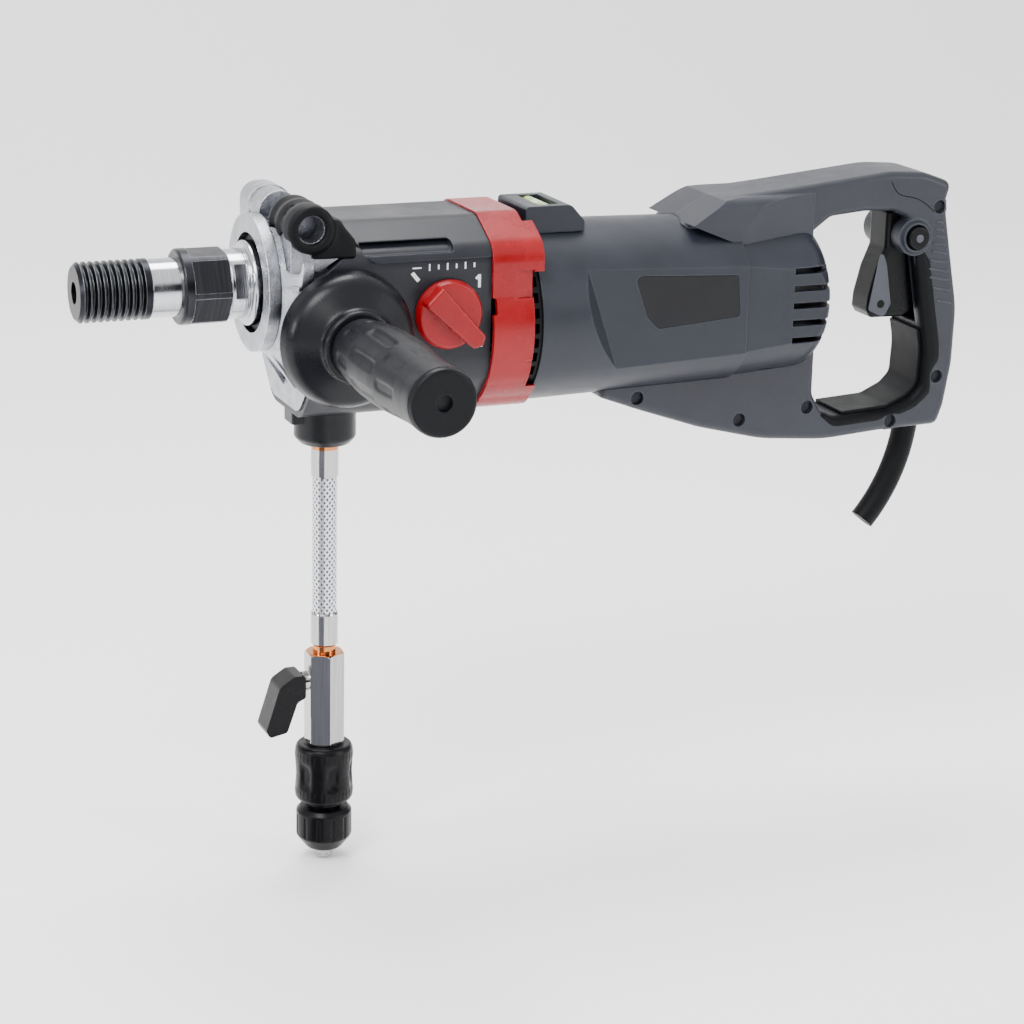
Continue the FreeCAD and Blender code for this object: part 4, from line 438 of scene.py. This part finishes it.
# Each figure is a few strokes: the 1 is a stem and its flag, the 2 a foot, a slope and a hook.
one = [bar(112.0, 3.5, 1.5, 7.0), [(109.6, 5.2), (110.6, 4.2), (111.4, 5.2), (111.4, 7.0)]]
two = [bar(112.0, -31.4, 4.6, 1.3),
       [(109.7, -31.9), (111.4, -31.9), (114.3, -27.2), (112.7, -26.7)],
       bar(113.4, -26.2, 1.5, 2.6), bar(112.0, -25.2, 4.2, 1.3), bar(110.2, -26.0, 1.3, 1.6)]
printed("figure_one", one)
printed("figure_two", two)

# ---------------------------------------------------------------- motor
# Inside: a wound armature on a steel shaft with its copper commutator, a field
# of stamped laminations with two coils, and carbon brushes in brass holders.


SHEET_PITCH_MM = 1.5        # sheets are 0.5 mm, drawn thicker so that they show


def wound_copper(name, dull, bright):
    """Enamelled copper over stamped sheets: thin lines across X, where two sheets meet."""
    made, tree, shader = surface(name, Metallic=0.9, Roughness=0.4)
    along = add(tree, "SeparateXYZ", (0, where(tree))).outputs["X"]
    wave = add(tree, "Math", (0, along), (1, 2 * math.pi / SHEET_PITCH_MM), operation="MULTIPLY")
    sheet = add(tree, "Math", (0, wave.outputs[0]), operation="SINE")
    step = add(tree, "MapRange", (0, sheet.outputs[0]), (1, -1.0), (2, 1.0))
    tone = two_tone(tree, step.outputs[0], dull, bright)
    tree.links.new(tone, shader.inputs["Base Color"])
    relief = add(tree, "Bump", ("Height", step.outputs[0]), ("Distance", 0.0002))
    tree.links.new(relief.outputs["Normal"], shader.inputs["Normal"])
    return made


armature_winding = wound_copper("armature_laminations", "#5a4636", "#8d7a68")
dress(armature_winding, "armature")
field_winding = wound_copper("field_laminations_and_enamelled_copper", "#6e3f1e", "#a8683a")
dress(field_winding, "field")
drawn_brass = turned_steel(
    "drawn_brass", "#a98a4a", "#d7bd7a",
    gloss_low=0.22, gloss_high=0.38, line_mm=0.6)[0]
dress(drawn_brass, "brush_holders")
carbon = moulded(
    "pressed_carbon", "#191919", "#3a3a3a",
    roughness=0.6, grain_mm=0.4, depth_mm=0.05)
dress(carbon, "brushes")
spring_wire = turned_steel(
    "drawn_spring_wire", "#74767b", "#aeb0b5",
    gloss_low=0.2, gloss_high=0.34, line_mm=0.3)[0]
dress(spring_wire, "brush_springs", "trigger_spring")

# ---------------------------------------------------------------- motor housing
# The motor's barrel is the same grey nylon, with a leaning step where the round
# front turns into flat flanks. A blank gloss plate sits in each flank.

case_nylon = moulded(
    "fine_spark_eroded_motor_nylon", "#1b1e27", "#373b45",
    roughness=0.40, grain_mm=0.55, depth_mm=0.05, edge_mm=1.0, specular=0.34)
dress(case_nylon, "motor_housing", "level_block")
plate_gloss = moulded(
    "gloss_black_polycarbonate", "#08090e", "#14161b",
    roughness=0.14, grain_mm=0.9, depth_mm=0.01, edge_mm=0.5, specular=0.24)
dress(plate_gloss, "rating_plates")


def vial_fluid():
    """A clear acrylic vial of green spirit: saturated, glossy and partly see-through."""
    made, tree, shader = surface("green_spirit_in_acrylic", Roughness=0.08, IOR=1.49,
                                 Coat_Weight=1.0, Transmission_Weight=0.35)
    across = add(tree, "SeparateXYZ", (0, where(tree))).outputs["Y"]
    # The bubble is a pale band in the middle, which fades out from 3.4 to 4.2 mm.
    away = add(tree, "Math", (0, across), operation="ABSOLUTE")
    bubble = add(tree, "MapRange", (0, away.outputs[0]), (1, 4.2), (2, 3.4))
    tone = two_tone(tree, bubble.outputs[0], "#8fbf1a", "#e4f2a8")
    tree.links.new(tone, shader.inputs["Base Color"])
    return made


dress(vial_fluid(), "level_vial")

# ---------------------------------------------------------------- rear cover
# The rear cap is moulded like the motor housing and held by four screws. Its
# louvres wrap the corner and let the cooling air in.

dress(case_nylon, "rear_cover")
zinc = turned_steel(
    "zinc_plated_steel", "#7d7f80", "#b4b6b4",
    gloss_low=0.25, gloss_high=0.4, line_mm=0.5)[0]
blacked_screw = turned_steel(
    "blacked_screw_steel", "#18191b", "#34353a",
    gloss_low=0.3, gloss_high=0.45, line_mm=0.4)[0]
dress(blacked_screw, "cover_screws", "handle_screws")

# ---------------------------------------------------------------- rear handle
# Two glass-filled nylon shells screwed together, with soft rubber on the inside
# of the grip. The parting line runs round the middle.

handle_nylon = moulded(
    "fine_grained_handle_nylon", "#22242c", "#40434d",
    roughness=0.43, grain_mm=0.6, depth_mm=0.07, edge_mm=1.0, specular=0.36)
dress(handle_nylon, "handle_left", "handle_right")
grip_rubber = moulded(
    "soft_grip_rubber", "#050609", "#0e0f12",
    roughness=0.48, grain_mm=0.8, depth_mm=0.1, edge_mm=1.2, specular=0.12)
dress(grip_rubber, "grip_liner", "cord_guard")

# The opening's rear and foot, from under the lock button: x, z and corner radius.
# All sizes in this section are in millimetres.
HANDLE_INSIDE = ((389.5, 0.0), (394, -25, 40), (401, -60, 40), (400, -81, 10), (393, -88, 8),
                 (380, -94, 10), (344, -96, 10), (335.5, -91.5))
HANDLE_SCREWS = ((409, -76), (380, -100.5), (325, -88))
SCREW_ROOM = 4.5                        # what the rubber leaves free round a screw's middle
SOFT_STEP = 2.0
SOFT_WIDTH, FOOT_WIDTH, LEAST_WIDTH = 8.5, 4.6, 2.4
FOOT_START, FOOT_FADE = -72, 22         # the strip narrows below this height, over this much


def rounded_line(corners, step):
    """Points along a line whose corners are turned to their radii, about a step apart."""
    ends = [Vector(corners[0][:2])]
    for before, here, after in zip(corners, corners[1:], corners[2:]):
        corner, radius = Vector(here[:2]), here[2]
        back = (Vector(before[:2]) - corner).normalized()
        on = (Vector(after[:2]) - corner).normalized()
        half = back.angle(on) / 2
        middle = corner + (back + on).normalized() * (radius / math.sin(half))
        start = corner + back * (radius / math.tan(half))
        stop = corner + on * (radius / math.tan(half))
        turn = math.pi - 2 * half
        count = max(3, int(radius * turn / step))
        for k in range(count + 1):
            t = k / count
            from_start = (start - middle) * math.sin((1 - t) * turn)
            from_stop = (stop - middle) * math.sin(t * turn)
            ends.append(middle + (from_start + from_stop) / math.sin(turn))
    ends.append(Vector(corners[-1][:2]))
    line = [ends[0]]
    for a, b in zip(ends, ends[1:]):
        count = max(1, round((b - a).length / step))
        line += [a + (b - a) * (k + 1) / count for k in range(count)]
    return line


def shaped(name, verts, faces, finish, body, smooth=False):
    """A mesh piece in millimetres, with its finish and body."""
    mesh = bpy.data.meshes.new(name)
    mesh.from_pydata([Vector(v) / 1000 for v in verts], [], faces)
    mesh.update()
    mesh.polygons.foreach_set("use_smooth", [smooth and len(f) == 4 for f in faces])
    mesh.materials.append(finish)
    piece = placed(name, mesh)
    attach(piece, body)
    return piece


def closed_rows(rows, n, first=0, flip=False):
    """Faces of a solid whose skin is rows of n points, with its first and last row capped."""
    walls = [[first + r * n + k, first + r * n + (k + 1) % n,
              first + (r + 1) * n + (k + 1) % n, first + (r + 1) * n + k]
             for r in range(rows - 1) for k in range(n)]
    last = first + (rows - 1) * n
    faces = walls + [[first + k for k in reversed(range(n))], [last + k for k in range(n)]]
    return [list(reversed(face)) for face in faces] if flip else faces


def soft_band(name, side):
    """The rubber moulded over the opening's edge, wrapped from its inner face on to the side."""
    path = rounded_line(HANDLE_INSIDE, SOFT_STEP)
    verts = []
    for i, at in enumerate(path):
        along = (path[min(i + 1, len(path) - 1)] - path[max(i - 1, 0)]).normalized()
        into = Vector((-along.y, along.x))
        foot = min(1.0, max(0.0, (FOOT_START - at.y) / FOOT_FADE))
        width = SOFT_WIDTH + (FOOT_WIDTH - SOFT_WIDTH) * foot
        for screw in HANDLE_SCREWS:
            room = (Vector(screw) - at).length - SCREW_ROOM
            width = min(width, max(LEAST_WIDTH, room))
        # The strip tapers over its first five steps and its last four.
        width *= 0.45 + 0.55 * min(1.0, i / 5, (len(path) - 1 - i) / 4)
        section = ((-0.4, 14), (-0.3, 16.5), (0.9, 19.2), (2.2, 20.3), (width, 20.35),
                   (width + 0.4, 19.9), (width, 19.2), (2.0, 17.0), (1.4, 14))
        for offset, y in section:
            spot = at + into * offset
            verts.append((spot.x, side * y, spot.y))
    faces = closed_rows(len(path), len(section), flip=side > 0)
    return shaped(name, verts, faces, grip_rubber, "machine", smooth=True)


soft_band("soft_band_left", -1)
soft_band("soft_band_right", 1)

# Ribs that stop the palm from turning: each one's height, and where it starts and ends along X.
PALM_RIBS = ((15.0, 403.0, 406.0), (10.8, 402.8, 406.7), (7.0, 402.4, 407.4),
             (2.6, 402.0, 408.3), (-2.0, 401.2, 409.1), (-7.0, 400.4, 410.1),
             (-12.0, 400.0, 411.1), (-17.0, 400.6, 412.0), (-23.4, 403.2, 413.3),
             (-31.0, 406.4, 414.6))
RIB_LAYERS = ((0.85, 19.7), (0.85, 20.2), (0.45, 20.55))    # half thickness, distance out
RIB_FALL = 0.2                          # how much a rib drops for each step along X
RIB_END_POINTS = 7


def palm_ribs(name, side):
    """Ribs with round ends, their outer edge broken by the last layer."""
    verts, faces = [], []
    for z, x0, x1 in PALM_RIBS:
        first = len(verts)
        for grow, y in RIB_LAYERS:
            for end, x in ((1, x1), (-1, x0)):
                for k in range(RIB_END_POINTS):
                    a = end * (math.pi / 2 - math.pi * k / (RIB_END_POINTS - 1))
                    px = x + end * grow * abs(math.cos(a))
                    pz = z - RIB_FALL * (px - x0) + grow * math.sin(a)
                    verts.append((px, side * y, pz))
        faces += closed_rows(len(RIB_LAYERS), 2 * RIB_END_POINTS, first, flip=side > 0)
    return shaped(name, verts, faces, handle_nylon, "machine")


palm_ribs("palm_ribs_left", -1)
palm_ribs("palm_ribs_right", 1)


SEAM_LINE = ((371.5, 39.6), (374.5, 33.5), (379, 31.0), (387, 29.8), (394, 26.5), (400.5, 21.0))
SEAM_OUT, SEAM_RADIUS = 0.01995, 0.00028            # these two in metres


def shell_seam(name, side):
    """The joint line of the rear panel, a fine dark line on the shell's side."""
    line = bpy.data.curves.new(name, "CURVE")
    line.dimensions = "3D"
    strand = line.splines.new("NURBS")
    strand.points.add(len(SEAM_LINE) - 1)
    for point, (x, z) in zip(strand.points, SEAM_LINE):
        point.co = (x / 1000, side * SEAM_OUT, z / 1000, 1.0)
    strand.order_u = 3
    strand.use_endpoint_u = True
    line.bevel_depth = SEAM_RADIUS
    line.use_fill_caps = True
    line.materials.append(grip_rubber)
    seam = placed(name, line)
    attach(seam, "machine")


shell_seam("shell_seam_left", -1)
shell_seam("shell_seam_right", 1)

# ---------------------------------------------------------------- trigger and lock
# The trigger is a glossier black nylon, with a grey cheek on its side. The lock
# button sits in a black collar above it.

trigger_nylon = moulded(
    "satin_black_nylon", "#050608", "#121317",
    roughness=0.30, grain_mm=0.6, depth_mm=0.04, edge_mm=1.2, specular=0.16)
dress(trigger_nylon, "trigger", "switch_module")
cheek_nylon = moulded(
    "grey_moulded_nylon", "#34373f", "#565a64",
    roughness=0.40, grain_mm=0.6, depth_mm=0.05, edge_mm=0.6)
dress(cheek_nylon, "trigger_side_plate")
dress(trigger_nylon, "lock_button")
dress(handle_nylon, "lock_collar")


DISC_POINTS = 28


def disc(name, x, z, y, proud, radius, finish, body):
    """A small round boss or plug facing the near side, with its edge broken."""
    rows = ((radius, -0.4), (radius, proud - 0.15), (radius - 0.2, proud))
    turns = [2 * math.pi * k / DISC_POINTS for k in range(DISC_POINTS)]
    verts = [(x + r * math.cos(a), y - depth, z + r * math.sin(a))
             for r, depth in rows for a in turns]
    return shaped(name, verts, closed_rows(len(rows), DISC_POINTS), finish, body)


disc("button_centre", x=389.0, z=7.0, y=-25.4, proud=0.35, radius=2.3,
     finish=cheek_nylon, body="lock_button")
disc("trigger_plug", x=374.5, z=-33.0, y=-10.8, proud=0.2, radius=2.4,
     finish=louvre_nylon, body="trigger")

# ---------------------------------------------------------------- side handle
# A steel M14 stud in a black nylon guard, with a rubber grip pressed over it.
# The grip swells in the middle and has long thumb flutes moulded round it.

GRIP_X, GRIP_Z = 0.0375, -0.022
# Distance from the spindle's axis and radius, in millimetres.
GRIP_PROFILE = ((72.3, 14.6), (73.2, 16.0), (78, 16.4), (84, 17.2), (95, 18.5), (106, 19.2),
                (120, 19.5), (134, 19.2), (150, 18.1), (165, 17.2), (176, 17.1), (184, 17.5),
                (187.0, 17.4))
GRIP_START, GRIP_END = 72.3, 187.0
GRIP_RINGS, GRIP_POINTS = 150, 160
FLUTE_ROWS = ((82, 103, 1.0), (106, 140, 1.1), (143, 166, 0.8))    # start, end and depth
FLUTES = 8


def along_profile(profile, s):
    """The radius at s, along straight lines between the profile's points."""
    for (s0, r0), (s1, r1) in zip(profile, profile[1:]):
        if s <= s1:
            return r0 + (r1 - r0) * (s - s0) / (s1 - s0)
    return profile[-1][1]


def grip_radius(s, angle):
    """The grip's radius, less the flutes; every second row is turned by half a flute."""
    radius = along_profile(GRIP_PROFILE, s)
    for row, (start, end, depth) in enumerate(FLUTE_ROWS):
        if start < s < end:
            across = math.cos(FLUTES * angle + row * math.pi)
            middle = (s - (start + end) / 2) / ((end - start) / 2)
            hollow = max(0.0, (across - 0.15) / 0.85) * max(0.0, 1.0 - middle ** 4)
            radius -= depth * min(1.0, 1.8 * hollow)
    return radius


def skin_round(name, axis_point, outward, up, rings, around, radius, finish, body):
    """A closed skin round an axis: rings along it, with radius(s, angle) for each point."""
    outward, up = Vector(outward), Vector(up)
    side = outward.cross(up)
    verts = []
    for s in rings:
        for k in range(around):
            a = 2 * math.pi * k / around
            r = radius(s, a) / 1000
            spoke = up * math.cos(a) + side * math.sin(a)
            verts.append(Vector(axis_point) + outward * (s / 1000) + spoke * r)
    faces = []
    for i in range(len(rings) - 1):
        for k in range(around):
            n = (k + 1) % around
            here, there = i * around, (i + 1) * around
            faces.append([here + k, there + k, there + n, here + n])
    faces.append(list(range(around)))
    faces.append(list(reversed(range((len(rings) - 1) * around, len(rings) * around))))
    mesh = bpy.data.meshes.new(name)
    mesh.from_pydata(verts, [], faces)
    mesh.update()
    mesh.polygons.foreach_set("use_smooth", [True] * (len(faces) - 2) + [False, False])
    mesh.materials.append(finish)
    piece = placed(name, mesh)
    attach(piece, body)
    return piece


guard_nylon = moulded(
    "satin_black_nylon_guard", "#0a0b10", "#16171d",
    roughness=0.28, grain_mm=0.6, depth_mm=0.05, edge_mm=1.4, specular=0.22)
dress(guard_nylon, "side_handle_guard")
dress(zinc, "side_handle_stud")
side_rubber = moulded(
    "fluted_grip_rubber", "#0e0f14", "#1b1c22",
    roughness=0.40, grain_mm=0.5, depth_mm=0.09, edge_mm=1.2, specular=0.2)
grip_rings = [GRIP_START + (GRIP_END - GRIP_START) * i / GRIP_RINGS for i in range(GRIP_RINGS + 1)]
side_grip = skin_round("side_grip", (GRIP_X, 0, GRIP_Z), (0, -1, 0), (0, 0, 1), grip_rings,
                       GRIP_POINTS, grip_radius, side_rubber, "machine")
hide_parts("side_handle_grip")
cap_rubber = moulded(
    "smooth_black_rubber", "#08090d", "#131418",
    roughness=0.38, grain_mm=0.9, depth_mm=0.04, edge_mm=1.2, specular=0.16)
dress(cap_rubber, "side_handle_cap")

# ---------------------------------------------------------------- water feed
# The inlet boss is black nylon. Below it come crimped ferrules, a nickel-plated
# brass ball valve with a nylon lever, and a snap coupler with its clamping nut.


# Bare brass rings, by their heights in millimetres: under the boss and above the valve.
BARE_BRASS = ((-93.2, -89.0), (-209.6, -204.0))


def nickel():
    """Bright nickel on brass: mirror-like but slightly warm, with brass at the screwed joints."""
    made, tree, shader, tone = turned_steel(
        "nickel_plated_brass", "#8e8d8c", "#c9c8c7",
        gloss_low=0.06, gloss_high=0.14, line_mm=0.9)[:4]
    height = add(tree, "SeparateXYZ", (0, where(tree))).outputs["Z"]
    joints = None
    for low, high in BARE_BRASS:
        above = add(tree, "Math", (0, height), (1, low), operation="GREATER_THAN")
        below = add(tree, "Math", (0, height), (1, high), operation="LESS_THAN")
        inside = add(tree, "Math", (0, above.outputs[0]), (1, below.outputs[0]),
                     operation="MULTIPLY")
        joints = inside.outputs[0] if joints is None else add(
            tree, "Math", (0, joints), (1, inside.outputs[0]), operation="MAXIMUM").outputs[0]
    both = add(tree, "Mix", (0, joints), (6, tone), (7, linear("#c07a45")), data_type="RGBA")
    tree.links.new(both.outputs[2], shader.inputs["Base Color"])
    return made


dress(guard_nylon, "water_boss")
plated = nickel()
dress(plated, "hose_ferrules", "valve_body", "valve_ball")
lever_nylon = moulded(
    "black_lever_nylon", "#050508", "#121317",
    roughness=0.30, grain_mm=0.6, depth_mm=0.05, edge_mm=1.0, specular=0.15)
dress(lever_nylon, "valve_lever", "coupler_body", "coupler_nut")

# Distance below the spindle's axis and radius, in millimetres.
SLEEVE_PROFILE = ((262.8, 14.0), (263.6, 15.2), (265.5, 16.0), (269.0, 16.3), (275.0, 15.9),
                  (280.0, 15.6), (285.0, 15.9), (290.5, 16.3), (293.5, 16.0), (295.0, 15.2),
                  (295.4, 14.6))
SLEEVE_START, SLEEVE_END = 262.8, 295.4
SLEEVE_RINGS, SLEEVE_POINTS = 70, 144
DIMPLES, DIMPLE_DEPTH, DIMPLE_MIDDLE, DIMPLE_HALF = 6, 1.5, 279.5, 8.5
KNURLS, KNURL_DEPTH = 36, 0.25
KNURLED = ((266.5, 271.5), (287.5, 292.5))


def sleeve_radius(s, angle):
    """The sleeve's radius, less the finger dimples and the fine grooves at both ends."""
    dimple = (max(0.0, math.cos(DIMPLES * angle))
              * max(0.0, 1.0 - ((s - DIMPLE_MIDDLE) / DIMPLE_HALF) ** 2))
    grooved = any(start < s < end for start, end in KNURLED)
    groove = KNURL_DEPTH * max(0.0, math.cos(KNURLS * angle)) if grooved else 0.0
    return along_profile(SLEEVE_PROFILE, s) - DIMPLE_DEPTH * min(1.0, 1.5 * dimple) - groove


sleeve_rings = [SLEEVE_START + (SLEEVE_END - SLEEVE_START) * i / SLEEVE_RINGS
                for i in range(SLEEVE_RINGS + 1)]
release_sleeve = skin_round("release_sleeve", (HOSE_X, 0, 0), (0, 0, -1), (0, 1, 0), sleeve_rings,
                            SLEEVE_POINTS, sleeve_radius, lever_nylon, "coupler_sleeve")
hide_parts("coupler_sleeve")

# The plug's nose under the nut, a bright ring turned with one groove: radius and height.
NOSE_RING = ((4.1, -325.2), (4.95, -325.4), (4.95, -327.2), (4.82, -327.4), (4.82, -328.4),
             (4.95, -328.6), (4.95, -329.9), (4.7, -330.2), (3.4, -330.2), (3.1, -329.9),
             (3.1, -328.2), (4.0, -328.2))
NOSE_POINTS = 48


def coupler_nose():
    """The ring's outline turned round the hose's axis."""
    n, verts, faces = len(NOSE_RING), [], []
    for k in range(NOSE_POINTS):
        a = 2 * math.pi * k / NOSE_POINTS
        verts += [(HOSE_X * 1000 + r * math.cos(a), r * math.sin(a), z) for r, z in NOSE_RING]
        here, there = k * n, (k + 1) % NOSE_POINTS * n
        faces += [[here + i, there + i, there + (i + 1) % n, here + (i + 1) % n] for i in range(n)]
    return shaped("coupler_nose", verts, faces, plated, "machine")


coupler_nose()

# ---------------------------------------------------------------- floor and light
# A pale floor that curves up into a wall, under large soft studio lights.

FLOOR_Z = -0.3315
FLOOR_FRONT, FLOOR_BACK, FLOOR_HALF = -3.0, 1.6, 5.0
SWEEP_RADIUS, SWEEP_STEPS = 0.9, 16
WALL_TOP = 4.0


def studio():
    """One sheet: a level floor, a sweep and a wall."""
    matt_white = surface("matt_white_floor", Roughness=0.9, Specular_IOR_Level=0.0,
                         Base_Color=linear("#ffffff"))[0]
    turns = [math.pi / 2 * i / SWEEP_STEPS for i in range(SWEEP_STEPS + 1)]
    sweep = [(FLOOR_BACK + SWEEP_RADIUS * math.sin(a), SWEEP_RADIUS - SWEEP_RADIUS * math.cos(a))
             for a in turns]
    outline = [(FLOOR_FRONT, 0.0)] + sweep + [(FLOOR_BACK + SWEEP_RADIUS, WALL_TOP)]
    verts = [(x, y, z + FLOOR_Z) for x in (-FLOOR_HALF, FLOOR_HALF) for y, z in outline]
    n = len(outline)
    faces = [[i, i + 1, n + i + 1, n + i] for i in range(n - 1)]
    mesh = bpy.data.meshes.new("studio_floor")
    mesh.from_pydata(verts, [], faces)
    mesh.polygons.foreach_set("use_smooth", [True] * len(faces))
    mesh.materials.append(matt_white)
    floor = placed("studio_floor", mesh)


studio()


def softbox(name, at, towards, size, watts):
    """A square soft light, turned to face a point."""
    data = bpy.data.lights.new(name, "AREA")
    data.size = size
    data.energy = watts
    lamp = placed(name, data)
    lamp.location = at
    lamp.rotation_euler = (Vector(towards) - Vector(at)).to_track_quat("-Z", "Y").to_euler()


softbox("key", at=(-0.9, -1.1, 1.5), towards=(0.15, 0, -0.05), size=0.9, watts=44.0)
softbox("fill", at=(1.6, -1.5, 0.5), towards=(0.2, 0, -0.1), size=0.7, watts=14.0)
softbox("top", at=(0.2, 0.5, 1.7), towards=(0.2, 0, 0), size=0.9, watts=40.0)
softbox("front_strip", at=(-1.5, -0.3, 0.3), towards=(0, 0, -0.05), size=0.35, watts=9.0)

FLAGS, FLAG_TURN = 4.0, 0.6             # how many, and how far round they start, in radians
ROOM_STRENGTH = 1.5


def studio_room():
    """A white room with black flags standing round it, for dark streaks in bright metal."""
    room = bpy.data.worlds.new("white_room_with_flags")
    room.use_nodes = True
    tree = room.node_tree
    way = add(tree, "SeparateXYZ", (0, add(tree, "TexCoord").outputs["Generated"]))
    turn = add(tree, "Math", (0, way.outputs["Y"]), (1, way.outputs["X"]), operation="ARCTAN2")
    phase = add(tree, "Math", (0, turn.outputs[0]), (1, FLAGS), (2, FLAG_TURN),
                operation="MULTIPLY_ADD")
    wave = add(tree, "Math", (0, phase.outputs[0]), operation="SINE")
    flag = add(tree, "MapRange", (0, wave.outputs[0]), (1, 0.05), (2, 0.35))
    # The flags start just under the horizon and end well below the ceiling.
    low_edge = add(tree, "MapRange", (0, way.outputs["Z"]), (1, -0.16), (2, -0.08))
    high_edge = add(tree, "MapRange", (0, way.outputs["Z"]), (1, 0.5), (2, 0.34))
    belt = add(tree, "Math", (0, low_edge.outputs[0]), (1, high_edge.outputs[0]),
               operation="MULTIPLY")
    dark = add(tree, "Math", (0, flag.outputs[0]), (1, belt.outputs[0]), operation="MULTIPLY")
    colour = two_tone(tree, dark.outputs[0], "#ffffff", "#101114")
    light = tree.nodes["Background"]
    tree.links.new(colour, light.inputs["Color"])
    light.inputs["Strength"].default_value = ROOM_STRENGTH
    bpy.context.scene.world = room


studio_room()

CARD_NEAR, CARD_FAR = 0.03, 1.1         # from the hose's axis
CARD_START, CARD_SPAN, CARD_STEPS = -158, 48, 12        # the first two in degrees
CARD_LIFT = 0.0005


def floor_flag():
    """A grey card on the floor in front, seen by reflections alone, to darken the metal."""
    grey = surface("grey_card", Roughness=0.9, Specular_IOR_Level=0.0,
                   Base_Color=linear("#5f6068"))[0]
    turns = [math.radians(CARD_START + CARD_SPAN * k / CARD_STEPS) for k in range(CARD_STEPS + 1)]
    verts = [(HOSE_X + r * math.cos(a), r * math.sin(a), FLOOR_Z + CARD_LIFT)
             for r in (CARD_NEAR, CARD_FAR) for a in turns]
    n = len(turns)
    mesh = bpy.data.meshes.new("floor_flag")
    mesh.from_pydata(verts, [], [[k, k + 1, n + k + 1, n + k] for k in range(n - 1)])
    mesh.materials.append(grey)
    flag = placed("floor_flag", mesh)
    flag.visible_camera = False
    flag.visible_diffuse = False
    flag.visible_transmission = False
    flag.visible_shadow = False


floor_flag()
